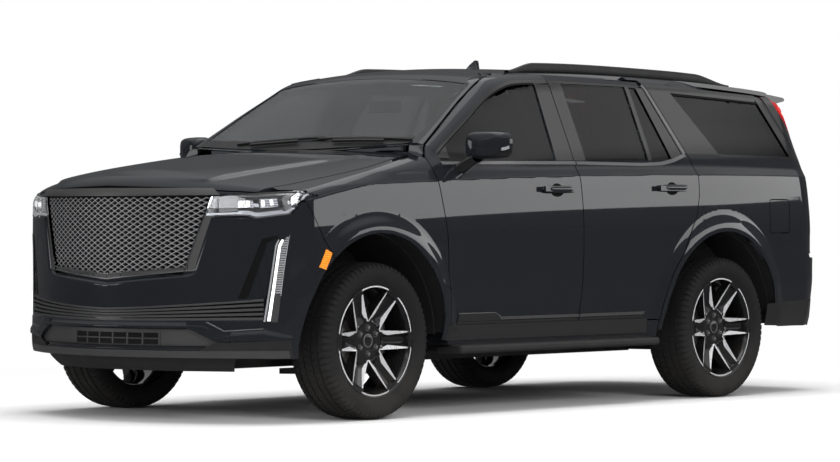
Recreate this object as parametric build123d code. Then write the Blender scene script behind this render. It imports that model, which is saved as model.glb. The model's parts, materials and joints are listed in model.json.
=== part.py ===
from build123d import *
import os
import numpy as np
from math import cos, radians, sin

# Full-size luxury SUV. Millimetres; +X forward, +Y left, +Z up; origin on the ground under the middle.

# ---- driving dimensions ----
BODY_LENGTH = 5382.0
BODY_HALF_WIDTH = 1006.0
WHEELBASE = 3071.0
FRONT_OVERHANG = 1015.0
FRONT_HALF_TRACK = 869.0
REAR_HALF_TRACK = 867.0
KINGPIN_Y = 785.0
ROOF_HEIGHT = 1912.0
TYRE_RADIUS = 411.0
TYRE_WIDTH = 275.0
RIM_RADIUS = 290.0
RIM_WIDTH = 230.0
ARCH_RADIUS = 562.0
FLARE_RADIUS = 655.0
FLARE_DEPTH = 22.0
SHUT_GAP = 7.0
INNER_INSET = 18.0
OUTER_SKIN = 6.0
DOOR_THICKNESS = 112.0
FRAME_THICKNESS = 36.0
GLASS_THICKNESS = 5.0
SILL_HEIGHT = 470.0
FLOOR_HEIGHT = 440.0
SILL_FRONT = 1060.0
FLOOR_SHEET = 20.0
FIREWALL = 1105.0
PANE_FIT = 0.3
SEAT_GAP = 0.3
PIN_FIT = 0.3
CABIN_FLOOR_EDGE = 716.0
REAR_FLOOR_HEIGHT = 640.0

FRONT_END = BODY_LENGTH / 2
REAR_END = -BODY_LENGTH / 2
FRONT_AXLE = FRONT_END - FRONT_OVERHANG
REAR_AXLE = FRONT_AXLE - WHEELBASE
AXLE_HEIGHT = TYRE_RADIUS


# ---- curves and the body's outer skin ----
def curve(*stations):
    """Smooth curve through (position, value) stations that adds no bump between them."""
    stations = sorted(stations)
    at = np.array([p for p, _ in stations], float)
    value = np.array([v for _, v in stations], float)
    step = np.diff(at)
    slope = np.diff(value) / step
    tangent = np.zeros(len(at))
    tangent[0], tangent[-1] = slope[0], slope[-1]
    for i in range(1, len(at) - 1):
        if slope[i - 1] * slope[i] > 0:
            before, after = step[i - 1], step[i]
            w1, w2 = 2 * after + before, after + 2 * before
            tangent[i] = (w1 + w2) / (w1 / slope[i - 1] + w2 / slope[i])

    def read(p):
        p = np.asarray(p, float)
        i = np.clip(np.searchsorted(at, p) - 1, 0, len(step) - 1)
        h = step[i]
        t = (p - at[i]) / h
        inside = np.clip(t, 0, 1)
        cubic = ((2 * inside**3 - 3 * inside**2 + 1) * value[i] + (inside**3 - 2 * inside**2 + inside)
                 * h * tangent[i] + (3 * inside**2 - 2 * inside**3) * value[i + 1]
                 + (inside**3 - inside**2) * h * tangent[i + 1])
        return cubic + np.where(t < 0, t * h * tangent[0], 0) + np.where(t > 1, (t - 1) * h * tangent[-1], 0)

    return read


def ease(t):
    t = np.clip(t, 0, 1)
    return t * t * (3 - 2 * t)


def rounded_min(a, b, radius):
    return np.maximum(np.minimum(a, b), radius) - np.hypot(np.maximum(radius - a, 0), np.maximum(radius - b, 0))


SIDE_SECTION = curve((200, -60), (450, -42), (560, -30), (690, -14), (730, -13), (880, -3), (1000, 0),
                     (1150, -4), (1284, -14), (1300, -22), (1330, -38), (1384, -56), (1600, -144),
                     (1834, -242), (2100, -354))
HOOD_CENTRE = curve((2640, 1262), (2411, 1302), (2000, 1354), (1600, 1396), (1240, 1430))
HOOD_CROWN = curve((2640, 200), (2411, 172), (2100, 145), (1676, 108), (1400, 70), (1200, 46))
CABIN_CENTRE = curve((1290, 1411), (720, 1782), (640, 1831), (580, 1856), (400, 1884), (100, 1904),
                     (-400, ROOF_HEIGHT), (-1200, 1903), (-1900, 1876), (-2500, 1836))
ROOF_CROWN = curve((900, 0), (400, 80), (-2500, 80))
NOSE_FACE = curve((240, -110), (335, -12), (400, 0), (600, -8), (760, -12), (1100, -14), (1180, -20),
                  (1260, -52))
TAIL_FACE = curve((350, 60), (450, 10), (600, 0), (800, 6), (850, 42), (1000, 48), (1300, 86), (1400, 110),
                  (1800, 268))
NOSE_BOW = 0.415
TAIL_BOW = 0.17
SCREEN_BOW = 0.15
NOSE_CORNER = 90.0
TAIL_CORNER = 240.0
HOOD_EDGE = 46.0
ROOF_EDGE = 72.0


def shoulder_shift(x):
    along = x + 21
    return -0.0217 * along - 6.5e-6 * along**2


def side_width(x, z):
    """Half-width of the body's side at x, z, before its corners are rounded."""
    section = z - shoulder_shift(x) * ease((z - 700) / 400)
    width = BODY_HALF_WIDTH + SIDE_SECTION(section)
    width = width - 34 * (np.maximum(x - 200, 0) / 1000) ** 2 * ease((z - 1290) / 120)
    width = width - 46 * (np.maximum(-1300 - x, 0) / 1200) ** 2
    for axle in (FRONT_AXLE, REAR_AXLE):
        away = np.hypot(x - axle, z - AXLE_HEIGHT)
        width = width + FLARE_DEPTH * ease((FLARE_RADIUS - away) / 44) * ease((z - 380) / 160)
    return width


def hood_height(x, y):
    return HOOD_CENTRE(x) - HOOD_CROWN(x) * (y / 1000) ** 2


def cabin_height(x, y):
    bowed = x + SCREEN_BOW * y**2 / 1000
    return CABIN_CENTRE(bowed) - ROOF_CROWN(x) * (y / 1000) ** 2


def skin_depth(x, y, z, top):
    """How far a point lies inside the body's skin; top is hood_height or cabin_height."""
    side = side_width(x, z) - np.abs(y)
    nose = FRONT_END + NOSE_FACE(z) - NOSE_BOW * y**2 / 1000 - x
    tail = x - (REAR_END + TAIL_FACE(z) + TAIL_BOW * y**2 / 1000)
    depth = rounded_min(rounded_min(side, nose, NOSE_CORNER), tail, TAIL_CORNER - 130 * ease((z - 1400) / 380))
    return rounded_min(depth, top(x, y) - z, HOOD_EDGE if top is hood_height else ROOF_EDGE)


def reach(origin, direction, inset, top, far=1700.0):
    """How far rays from inside the body go to its skin, or to a layer inset below it."""
    low = np.zeros(origin.shape[:2])
    high = np.full(origin.shape[:2], far)
    for _ in range(32):
        middle = (low + high) / 2
        point = origin + direction * middle[..., None]
        inside = skin_depth(point[..., 0], point[..., 1], point[..., 2], top) > inset
        low = np.where(inside, middle, low)
        high = np.where(inside, high, middle)
    return (low + high) / 2


def skin_slab(origin, direction, outer, inner, top):
    """Solid between two layers of the skin, lofted through one closed section for each row of rays."""
    direction = np.broadcast_to(np.asarray(direction, float), origin.shape)
    outside = reach(origin, direction, outer, top)
    inside = np.maximum(reach(origin, direction, inner, top), outside - 1.7 * (inner - outer))
    sections = []
    for row in range(origin.shape[0]):
        rim = [Vector(*p) for p in (origin + direction * outside[..., None])[row].tolist()]
        back = [Vector(*p) for p in (origin + direction * inside[..., None])[row].tolist()]
        sections.append(Wire.make_polygon(rim + back[::-1], close=True))
    return Solid.make_loft(sections, ruled=True)


def rays(xs, ys, zs):
    xs, ys, zs = np.broadcast_arrays(xs, ys, zs)
    return np.stack([xs, ys, zs], axis=-1).astype(float)


def spread(low, high, step):
    return np.linspace(low, high, max(3, int(abs(high - low) / step) + 2))


def side_slab(x0, x1, heights, outer, inner, top=cabin_height, step=130.0):
    """Left-hand slab that follows the body's side. heights is a list, or a function of x that gives one."""
    stations = spread(x0, x1, step)
    rows = np.array([heights(x) if callable(heights) else heights for x in stations], float)
    return skin_slab(rays(stations[:, None], 0.0, rows), (0, 1, 0), outer, inner, top)


def top_slab(x0, x1, y0, y1, outer, inner, top=cabin_height, step=110.0):
    stations = spread(x0, x1, step)[:, None]
    return skin_slab(rays(stations, spread(y0, y1, 120)[None, :], 900.0), (0, 0, 1), outer, inner, top)


def tail_slab(half_width, z0, z1, outer, inner):
    """Slab across the tail, on level rays that narrow in towards the roof."""
    stations = spread(z0, z1, 60)[:, None]
    half_widths = half_width - 110 * ease((stations - 1500) / 330)
    ys = np.linspace(-1, 1, 21)[None, :] * half_widths
    return skin_slab(rays(-1500.0, ys, stations), (-1, 0, 0), outer, inner, cabin_height)


def wrap_slab(centre_x, angle_from, angle_to, z0, z1, outer, inner, top, step=5.0):
    """Slab round one end of the body, on level rays that fan out from a point on the centre line."""
    turns = np.radians(spread(angle_from, angle_to, step))[:, None]
    heights = spread(z0, z1, 60)[None, :]
    origin = rays(centre_x, 0.0, heights + 0 * turns)
    direction = np.stack([np.cos(turns) + 0 * heights, np.sin(turns) + 0 * heights, 0 * turns * heights], axis=-1)
    return skin_slab(origin, direction, outer, inner, top)


# ---- outlines and plain solids ----
def outline_prism(points, normal, low, high, radius, grow):
    face = Face(Wire.make_polygon([Vector(*p) for p in points], close=True))
    if radius:
        face = face.fillet_2d(radius, face.vertices())
    if grow:
        face = Face(face.outer_wire().offset_2d(grow, Kind.ARC if radius else Kind.INTERSECTION))
    along = Vector(*normal)
    if face.normal_at().dot(along) < 0:
        face = -face
    return Solid.extrude(face.moved(Location(along * low)), along * (high - low))


def side_prism(points, radius=0.0, grow=0.0, y0=-1400.0, y1=1400.0):
    """Prism across the body from an outline of (x, z) points."""
    return outline_prism([(x, 0, z) for x, z in points], (0, 1, 0), y0, y1, radius, grow)


def plan_prism(points, radius=0.0, grow=0.0, z0=0.0, z1=2500.0):
    return outline_prism([(x, y, 0) for x, y in points], (0, 0, 1), z0, z1, radius, grow)


def front_prism(points, radius=0.0, grow=0.0, x0=-4000.0, x1=4000.0):
    return outline_prism([(0, y, z) for y, z in points], (1, 0, 0), x0, x1, radius, grow)


def box(x0, x1, y0, y1, z0, z1):
    return Pos((x0 + x1) / 2, (y0 + y1) / 2, (z0 + z1) / 2) * Box(abs(x1 - x0), abs(y1 - y0), abs(z1 - z0))


def rounded_box(x0, x1, y0, y1, z0, z1, radius):
    solid = box(x0, x1, y0, y1, z0, z1)
    return fillet(solid.edges(), radius)


def cylinder_between(start, end, radius):
    start, end = Vector(*start), Vector(*end)
    return Solid.make_cylinder(radius, (end - start).length, Plane(origin=start, z_dir=end - start))


def wheel_cylinder(x, y0, y1, radius, z=AXLE_HEIGHT):
    return cylinder_between((x, y0, z), (x, y1, z), radius)


def arch(axle, grow=0.0):
    """Prism of a wheel arch's opening: round above the axle, straight down to the ground below it."""
    radius = ARCH_RADIUS + grow
    return wheel_cylinder(axle, -1400, 1400, radius) + box(axle - radius * 0.98, axle + radius * 0.98, -1400, 1400,
                                                            0, AXLE_HEIGHT - radius * 0.1)


def mirrored(shape):
    return mirror(shape, about=Plane.XZ)


def both_sides(*shapes):
    return [*shapes, *(mirrored(s) for s in shapes)]


def solids_of(*shapes):
    found = []
    for shape in shapes:
        found += solids_of(*shape) if isinstance(shape, (list, tuple)) else list(shape.solids())
    return found


NODES = {}


def node(name, *shapes):
    NODES[name] = Compound(children=solids_of(*shapes))


# ---- outlines of doors, windows and panels; (x, z) seen from the side ----
BELT = 1352.0
DOOR_TOP = 1856.0
B_CUT = [(-52, SILL_HEIGHT), (-64, 720), (-50, 1120), (-36, 1280), (-22, 1372), (-22, DOOR_TOP)]
FRONT_CUT = [(1196, 1367), (1185, 1256), (1160, 1147), (1138, 1053), (1120, 960), (1092, 700),
             (1066, SILL_HEIGHT)]
FRONT_DOOR = [*FRONT_CUT, *B_CUT, (370, 1850), (542, 1796), (744, 1686), (1150, 1440)]
DOOR_ARCH = ARCH_RADIUS + 40
DOOR_ARC = [(REAR_AXLE + DOOR_ARCH * cos(radians(a)), AXLE_HEIGHT + DOOR_ARCH * sin(radians(a)))
            for a in (5.7, 14, 22, 30, 38, 46)]
REAR_DOOR = [*B_CUT[::-1], (DOOR_ARC[0][0], SILL_HEIGHT), *DOOR_ARC, (-1010, 900), (-1122, 1060), (-1150, 1180),
             (-1152, 1295), (-1120, 1400), (-1094, 1440), (-894, 1842)]
FRONT_GLASS = [(1092, 1402), (1092, BELT), (132, BELT + 16), (105, 1812), (344, 1804), (560, 1724), (995, 1474)]
REAR_GLASS = [(-132, BELT + 20), (-132, 1812), (-721, 1808), (-719, BELT + 30)]
REAR_FIXED_GLASS = [(-750, BELT + 32), (-752, 1808), (-822, 1804), (-985, 1450), (-962, BELT + 40)]
QUARTER_GLASS = [(-1120, 1812), (-1420, 1424), (-2200, 1420), (-2010, 1776)]
FUEL_DOOR = [(-1873, 962), (-1873, 1162), (-2089, 1162), (-2089, 962)]
LAMP_EDGE = [(-2060, 1860), (-2290, 1410), (-2350, 1275), (-2350, 810)]
HOOD_SIDE = [(2411, 812), (2200, 845), (1900, 866), (1600, 872), (1400, 862), (1244, 835)]
HOOD_REAR = [(1325 - 130 * (y / 1000) ** 2, y) for y in (700, 450, 200, 0, -200, -450, -700)]
HOOD_PLAN = [(2900, 900), (2411, 812), *HOOD_SIDE[1:], *HOOD_REAR, *[(x, -y) for x, y in HOOD_SIDE[::-1]],
             (2900, -900)]
HOOD_LIP = [(900, 1176), (812, 1179), (450, 1200), (0, 1213), (-450, 1200), (-812, 1179), (-900, 1176),
            (-900, 1700), (900, 1700)]
SCREEN_REAR = [(1283 - 150 * (y / 1000) ** 2, y) for y in (789, 600, 400, 200, 0, -200, -400, -600, -789)]
SCREEN_PLAN = [*SCREEN_REAR, (592, -696), (622, -400), (634, 0), (622, 400), (592, 696)]
ROOF_HALF_WIDTH = 700.0
ROOF_REAR = -2330.0
ROOF_SHEET = 24.0
ROOF_PLAN = [(590, -ROOF_HALF_WIDTH), (620, -400), (632, 0), (620, 400), (590, ROOF_HALF_WIDTH),
             (ROOF_REAR, ROOF_HALF_WIDTH), (ROOF_REAR, -ROOF_HALF_WIDTH)]
BUMPER_CUT = [(2225, 1140), (2040, 842), (1500, 842), (1500, 1300), (2225, 1300)]
GRILLE = [(605, 1160), (481, 800), (470, 762), (-470, 762), (-481, 800), (-605, 1160)]
LOWER_GRILLE = [(690, 485), (640, 398), (-640, 398), (-690, 485)]
SLATS = [(838, 632), (846, 545), (-846, 545), (-838, 632)]
HEADLAMP = [(632, 1166), (1012, 1184), (1012, 1142), (862, 1090), (640, 1062)]
DAY_LAMP = [(790, 960), (835, 952), (905, 560), (862, 540)]
TAILGATE = [(735, 825), (735, 1300), (725, 1420), (655, 1800), (640, 1900), (-640, 1900), (-655, 1800),
            (-725, 1420), (-735, 1300), (-735, 825)]
TAIL_GLASS = [(690, 1420), (618, 1770), (-618, 1770), (-690, 1420)]


# ---- doors ----
FRONT_HINGE = (1075.0, 996.0)
REAR_HINGE = (-92.0, 996.0)
HINGE_PIN_RADIUS = 2.5
HINGE_ARM = 10.0
HINGE_LEVELS = ((895.0, 919.0), (1043.0, 1067.0))
HINGE_RELIEF = 5.0
LOWER_LEVELS = [SILL_HEIGHT - 60, 560, 690, 730, 880, 1000, 1150, 1284, 1330, BELT + 8]


def cabin_levels(x, base=LOWER_LEVELS, limit=DOOR_TOP + 2):
    """Heights for a section at x, from the sill to the roof edge or the windscreen pillar's foot."""
    pillar = 1868 - (x - 400) * 0.585
    highest = float(rounded_min(limit - 1000, pillar - 1000, 60) + 1000)
    return [*base, *np.linspace(base[-1] + 30, highest, 5)]


def hinge_arms(axis, y_from):
    """Fixed arms of a left door's hinge, each with a half-round seat for the door's pin."""
    x, y = axis
    arms = [box(x - HINGE_ARM / 2, x + HINGE_ARM / 2, y_from, y + 1, low, high) for low, high in HINGE_LEVELS]
    pin = cylinder_between((x, y, 800), (x, y, 1200), HINGE_PIN_RADIUS + PIN_FIT)
    return [arm - pin for arm in arms]


def fit_hinge(solid, axis):
    """Pockets round the fixed arms, and the pin that runs through them."""
    x, y = axis
    for low, high in HINGE_LEVELS:
        low, high = low - HINGE_RELIEF, high + HINGE_RELIEF
        solid -= box(x - HINGE_ARM / 2 - HINGE_RELIEF, x + 100, 800, y + 1, low, high)
        solid -= cylinder_between((x, y, low), (x, y, high), HINGE_ARM / 2 + 0.7)
        solid -= box(x, x + 17, y - 10, y + 4.6, low, high)
    return solid + cylinder_between((x, y, HINGE_LEVELS[0][0] - 20), (x, y, HINGE_LEVELS[1][1] + 20), HINGE_PIN_RADIUS)


def door(outline, windows, x_rear, x_front, hinge):
    """One left-hand door: an outer skin up to the shut line, and an inner box set in from it."""
    skin = side_slab(x_rear - 40, x_front + 12, cabin_levels, 0, OUTER_SKIN)
    frame_levels = lambda x: cabin_levels(x, base=[BELT - 60], limit=DOOR_TOP - 4)
    frame = side_slab(x_rear - 40, x_front + 12, frame_levels, OUTER_SKIN - 1, FRAME_THICKNESS)
    lower = side_slab(x_rear - 40, x_front + 12, LOWER_LEVELS, OUTER_SKIN - 1, DOOR_THICKNESS)
    inner_outline = side_prism(outline, grow=-SHUT_GAP / 2 - INNER_INSET)
    solid = (skin & side_prism(outline, grow=-SHUT_GAP / 2)) + (frame & inner_outline) + (lower & inner_outline)
    for window in windows:
        solid -= side_prism(window, radius=12, y0=0)
    return fit_hinge(solid, hinge)


def door_handle(x0, x1, z):
    grip = side_slab(x0, x1, [z - 14, z, z + 14], -34, -20, step=400)
    feet = [side_slab(x, x + 30, [z - 12, z + 12], -22, 3, step=400) for x in (x0 + 12, x1 - 42)]
    return grip + feet[0] + feet[1]


def pane(window, inset=8.0):
    x = [p[0] for p in window]
    z = [p[1] for p in window]
    levels = lambda at: cabin_levels(at, base=[min(z) - 20], limit=max(z) + 20)
    sheet = side_slab(min(x) - 20, max(x) + 20, levels, inset, inset + GLASS_THICKNESS)
    return sheet & side_prism(window, radius=12, y0=0, grow=-PANE_FIT)


def mirror_head():
    """Door mirror: a rounded head on an arm that stands on the door's front window corner."""
    head = rounded_box(842, 968, 1040, 1226, 1338, 1468, 34)
    arm = rounded_box(900, 985, 930, 1060, 1345, 1385, 14)
    return (head + arm) - side_slab(800, 1100, [1300, 1340, 1380, 1420], 0, 200, step=90)


front_door = door(FRONT_DOOR, [FRONT_GLASS], -64, 1196, FRONT_HINGE) + door_handle(33, 319, 1212)
rear_door = door(REAR_DOOR, [REAR_GLASS, REAR_FIXED_GLASS], -1152, -22, REAR_HINGE) + door_handle(-1015, -735, 1222)
rear_panes = [pane(REAR_GLASS), pane(REAR_FIXED_GLASS)]
outer_mirror = mirror_head()
node("door_front_left", front_door)
node("door_front_right", mirrored(front_door))
node("door_rear_left", rear_door)
node("door_rear_right", mirrored(rear_door))
node("glass_front_left", pane(FRONT_GLASS))
node("glass_front_right", mirrored(pane(FRONT_GLASS)))
node("glass_rear_left", rear_panes)
node("glass_rear_right", [mirrored(p) for p in rear_panes])
node("mirror_left", outer_mirror)
node("mirror_right", mirrored(outer_mirror))


# ---- fixed outer panels ----
TAILGATE_HINGE = (-2320.0, 1838.0)
TAILGATE_DEPTH = 54.0
TAILGATE_FRONT = ROOF_REAR - SHUT_GAP - 1
TAILGATE_LEAF = (138.0, 162.0)
HOOD_HINGE = (1285.0, 1370.0)
HOOD_PIN_RADIUS = 4.0


def hood():
    """Hood panel with its folded front lip, on rays that fan out in upright planes."""
    ys = spread(-900, 900, 110)[:, None]
    turns = np.radians(np.array([4, 12, 18, 22, 26, 32, 42, 56, 76, 100, 120, 135, 146, 154, 160, 164]))[None, :]
    origin = rays(2150.0, ys, 1080.0 + 0 * turns)
    direction = np.stack([np.cos(turns) + 0 * ys, 0 * ys * turns, np.sin(turns) + 0 * ys], axis=-1)
    panel = skin_slab(origin, direction, 0, 20, hood_height)
    panel = panel & plan_prism(HOOD_PLAN, grow=-SHUT_GAP / 2) & front_prism(HOOD_LIP, grow=-SHUT_GAP / 2)
    x, z = HOOD_HINGE
    for side in (1, -1):
        panel -= cylinder_between((x, side * 712, z), (x, side * 732, z), 16)
        ear = box(x - 10, x + 12, side * 700, side * 712, z - 12, z + 22)
        panel += ear - cylinder_between((x, side * 690, z), (x, side * 720, z), HOOD_PIN_RADIUS + PIN_FIT)
    return panel


def fender():
    levels = lambda x: [400, 560, 690, 730, 880, 1000, 1120,
                        *np.linspace(1180, float(hood_height(x, 880.0)) + 12, 6)]
    panel = side_slab(1040, 2300, levels, 0, 9, top=hood_height, step=80)
    panel -= arch(FRONT_AXLE)
    panel -= side_prism(FRONT_DOOR, grow=SHUT_GAP / 2)
    panel -= plan_prism(HOOD_PLAN, grow=SHUT_GAP / 2)
    panel &= side_prism([(SILL_FRONT + SEAT_GAP, 400), (SILL_FRONT + SEAT_GAP, 500), (1040, 500), (1040, 1367), (1200, 1367), (1200, 1500), (2400, 1500),
                         (2400, 1194), (2218, 1194), (2218, 1138), (2038, 849), (1500, 849), (1500, 400)])
    return max(panel.solids(), key=lambda s: s.volume)


def front_bumper():
    shell = wrap_slab(1500, -64, 64, 335, 1187, 0, 12, hood_height)
    for opening in (GRILLE, LOWER_GRILLE, SLATS):
        shell -= front_prism(opening, grow=SEAT_GAP)
    for lamp in (HEADLAMP, DAY_LAMP):
        shell -= front_prism(lamp, grow=SEAT_GAP)
        shell -= front_prism([(-y, z) for y, z in lamp], grow=SEAT_GAP)
    shell -= arch(FRONT_AXLE)
    shell -= side_prism(BUMPER_CUT)
    shell -= plan_prism(HOOD_PLAN, grow=SHUT_GAP / 2, z0=1168) & front_prism(HOOD_LIP, grow=SHUT_GAP / 2)
    return max(shell.solids(), key=lambda s: s.volume)


def front_lamps():
    shell = wrap_slab(1500, -64, 64, 500, 1200, 3, 40, hood_height)
    shell &= box(2229, 3000, -1100, 1100, 0, 2000)
    return [shell & front_prism([(side * y, z) for y, z in lamp]) for lamp in (HEADLAMP, DAY_LAMP) for side in (1, -1)]


def grille():
    shell = wrap_slab(1500, -30, 30, 740, 1180, 4, 40, hood_height)
    frame = shell & front_prism(GRILLE)
    frame -= front_prism([(y * 0.94, z + (18 if z < 900 else -20)) for y, z in GRILLE])
    mesh = wrap_slab(1500, -30, 30, 740, 1180, 22, 28, hood_height)
    return frame + (mesh & front_prism(GRILLE, grow=-2))


def lower_grille():
    shell = wrap_slab(1500, -40, 40, 380, 660, 10, 18, hood_height)
    bars = wrap_slab(1500, -45, 45, 380, 660, 2, 14, hood_height)
    plates = (shell & front_prism(SLATS)) + (shell & front_prism(LOWER_GRILLE))
    for z in (556, 578, 600, 622):
        plates += bars & front_prism(SLATS) & box(1500, 3000, -900, 900, z - 5, z + 5)
    return plates


def quarter_panel():
    levels = lambda x: [410, 560, 690, 730, 880, 1000, 1150, 1284, 1330,
                        *np.linspace(1370, min(1862, 1890 + (x + 2060) * 1.5), 7)]
    panel = side_slab(-2370, -800, levels, 0, 28, step=100)
    panel -= arch(REAR_AXLE)
    panel -= side_prism(REAR_DOOR, grow=SHUT_GAP / 2)
    panel -= side_prism(QUARTER_GLASS, radius=12, y0=0)
    panel &= side_prism([(-2324, 1764), (-2112, 1764), *LAMP_EDGE[1:], (-1500, 810), (-1500, 400), (-780, 400),
                         (-780, 1880), (-2324, 1880)])
    panel &= box(-3000, 0, ROOF_HALF_WIDTH + SEAT_GAP, 1400, 0, 2500)
    return max(panel.solids(), key=lambda s: s.volume)


FUEL_HINGE = (-1890.0, 987.0)
FUEL_PIN_RADIUS = 1.6
FUEL_POSTS = (1043.0, 1081.0)


def fuel_recess(panel):
    """The left panel with its fuel recess, and two posts that hold the flap's pin."""
    pocket = side_slab(-2120, -1840, [930, 1000, 1080, 1190], -8, 25)
    panel -= pocket & side_prism(FUEL_DOOR, radius=24, grow=SHUT_GAP / 2)
    x, y = FUEL_HINGE
    for z in FUEL_POSTS:
        panel += box(x - 3, x + 3, y - 22, y + 2, z - 3, z + 3)
    return panel + cylinder_between((x, y, FUEL_POSTS[0]), (x, y, FUEL_POSTS[1]), FUEL_PIN_RADIUS)


def fuel_flap():
    flap = side_slab(-2110, -1850, [940, 1000, 1080, 1180], 0, 5)
    flap &= side_prism(FUEL_DOOR, radius=24, grow=-SHUT_GAP / 2)
    flap = max(flap.solids(), key=lambda s: s.volume)
    x, y = FUEL_HINGE
    for z in FUEL_POSTS:
        flap -= box(x - 6, x + 30, y - 40, y + 4.6, z - 6, z + 6)
    lug = cylinder_between((x, y, FUEL_POSTS[0] + 8), (x, y, FUEL_POSTS[1] - 8), 4.5)
    return flap + (lug - cylinder_between((x, y, 1000), (x, y, 1120), FUEL_PIN_RADIUS + PIN_FIT))


def roof_panel():
    roof = top_slab(ROOF_REAR - 20, 660, -ROOF_HALF_WIDTH, ROOF_HALF_WIDTH, 0, ROOF_SHEET) & plan_prism(ROOF_PLAN)
    for outline in (FRONT_DOOR, REAR_DOOR):
        roof -= side_prism(outline, grow=SHUT_GAP / 2, y0=520)
        roof -= side_prism(outline, grow=SHUT_GAP / 2, y1=-520)
    roof -= box(-2400, -2090, 600, 800, 1500, 1763) + box(-2400, -2090, -800, -600, 1500, 1763)
    roof = max(roof.solids(), key=lambda s: s.volume)
    x, z = TAILGATE_HINGE
    for side in (1, -1):
        near, far = side * (TAILGATE_LEAF[0] - 4), side * (TAILGATE_LEAF[1] + 4)
        roof -= box(x + 13, ROOF_REAR - 10, near, far, z - 60, z + 60)
        roof += cylinder_between((x, near - side * 8, z), (x, far + side * 8, z), HOOD_PIN_RADIUS)
    return roof


def pillar():
    """Windscreen pillar, between the screen's edge and the front door's frame."""
    post = top_slab(380, 1186, 640, 960, 0, 30, step=60)
    post -= plan_prism(SCREEN_PLAN, grow=SEAT_GAP)
    post -= side_prism(FRONT_DOOR, grow=SHUT_GAP / 2)
    post -= plan_prism(HOOD_PLAN, grow=SHUT_GAP)
    post -= plan_prism(ROOF_PLAN, grow=SEAT_GAP)
    return max(post.solids(), key=lambda s: s.volume)


def side_frame():
    """Sill, hinge post, centre pillar and roof rail behind the doors."""
    sill = side_slab(-790, SILL_FRONT, [372, SILL_HEIGHT - 4], 4, 300) & box(-800, 1100, CABIN_FLOOR_EDGE, 1100, 300, 500)
    post = box(990, 1090, 740, 808, 380, 1290)
    lower = side_slab(-120, 84, [380, 700, 1000, 1284, 1410], DOOR_THICKNESS + 22, DOOR_THICKNESS + 56)
    step = side_slab(-120, 84, [BELT + 34, BELT + 60], FRAME_THICKNESS + 18, DOOR_THICKNESS + 56)
    upper = side_slab(-120, 84, [BELT + 34, 1600, 1812], FRAME_THICKNESS + 28, FRAME_THICKNESS + 60)
    rail = side_slab(-1060, 360, [1780, 1812], FRAME_THICKNESS + 34, FRAME_THICKNESS + 60)
    frame = sill + post + lower + step + upper + rail
    riser = box(-80, -20, 460, 510, 1782, 1900) + box(-80, -20, 460, 700, 1782, 1802)
    frame += riser - top_slab(ROOF_REAR - 20, 660, -ROOF_HALF_WIDTH, ROOF_HALF_WIDTH, -60, ROOF_SHEET + SEAT_GAP)
    for arm in hinge_arms(FRONT_HINGE, 800) + hinge_arms(REAR_HINGE, 860):
        frame += arm
    return frame


def rear_bumper():
    shell = wrap_slab(-1600, 180 - 64, 180 + 64, 400, 810 - SEAT_GAP, 0, 22, cabin_height)
    shell -= arch(REAR_AXLE)
    shell &= box(-3000, -1500, -1200, 1200, 300, 900)
    return shell


def tail_lamp():
    shell = wrap_slab(-1600, 180 - 64, 180 - 40, 950, 1800, 0, 40, cabin_height)
    shell -= front_prism(TAILGATE, grow=SHUT_GAP)
    shell &= side_prism([(-2116, 1758), (-2290.3, 1410), (-2350.3, 1275), (-2350.3, 950), (-2900, 950), (-2900, 1758)])
    return max(shell.solids(), key=lambda s: s.volume)


node("hood", hood())
node("front_fenders", both_sides(fender()))
node("front_bumper", front_bumper())
node("front_lamps", front_lamps())
node("grille", grille())
node("lower_grille", lower_grille())
left_quarter = quarter_panel()
node("quarter_panels", fuel_recess(left_quarter), mirrored(left_quarter))
node("roof_panel", roof_panel())
node("side_frames", both_sides(side_frame(), pillar()))
node("windscreen", top_slab(580, 1300, -800, 800, 3, 9, step=60) & plan_prism(SCREEN_PLAN))
node("quarter_windows", both_sides(pane(QUARTER_GLASS)))
node("rear_bumper", rear_bumper())
node("tail_lamps", both_sides(tail_lamp()))


# ---- tailgate, fuel door, roof rails, running boards ----
PLATE_SPACING_Y = 177.8
PLATE_SPACING_Z = 120.65
PLATE_CENTRE_Z = 1020.0
PLATE_HOLE_RADIUS = 3.2
PLATE_HOLE_END = -2615.0


def spoiler():
    """Roof spoiler that carries the roof's crown past the tail."""
    sections = []
    for y in (-640, -480, -320, -160, 0, 160, 320, 480, 640):
        top = float(cabin_height(TAILGATE_FRONT, y)) - 1 - 6 * (y / 640) ** 4
        profile = [(TAILGATE_FRONT, top), (TAILGATE_FRONT, top - 34), (-2440, top - 56), (-2526, top - 40),
                   (-2534, top - 28), (-2520, top - 18)]
        sections.append(Wire.make_polygon([Vector(x, y, z) for x, z in profile], close=True))
    return Solid.make_loft(sections, ruled=True)


def tailgate():
    panel = tail_slab(760, 815, 1818, 0, TAILGATE_DEPTH) & front_prism(TAILGATE)
    panel &= box(-3000, TAILGATE_FRONT, -800, 800, 800, 1830)
    panel -= front_prism(TAIL_GLASS, radius=30)
    panel += spoiler()
    x, z = TAILGATE_HINGE
    for side in (1, -1):
        near, far = (side * y for y in TAILGATE_LEAF)
        leaf = box(TAILGATE_FRONT - 20, x, near, far, z - 8, z + 7) + cylinder_between((x, near, z), (x, far, z), 8)
        panel += leaf - cylinder_between((x, near - side * 5, z), (x, far + side * 5, z), HOOD_PIN_RADIUS + PIN_FIT)
    for y in (-PLATE_SPACING_Y / 2, PLATE_SPACING_Y / 2):
        for z in (PLATE_CENTRE_Z - PLATE_SPACING_Z / 2, PLATE_CENTRE_Z + PLATE_SPACING_Z / 2):
            panel -= cylinder_between((-2720, y, z), (PLATE_HOLE_END, y, z), PLATE_HOLE_RADIUS)
    return panel


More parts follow.
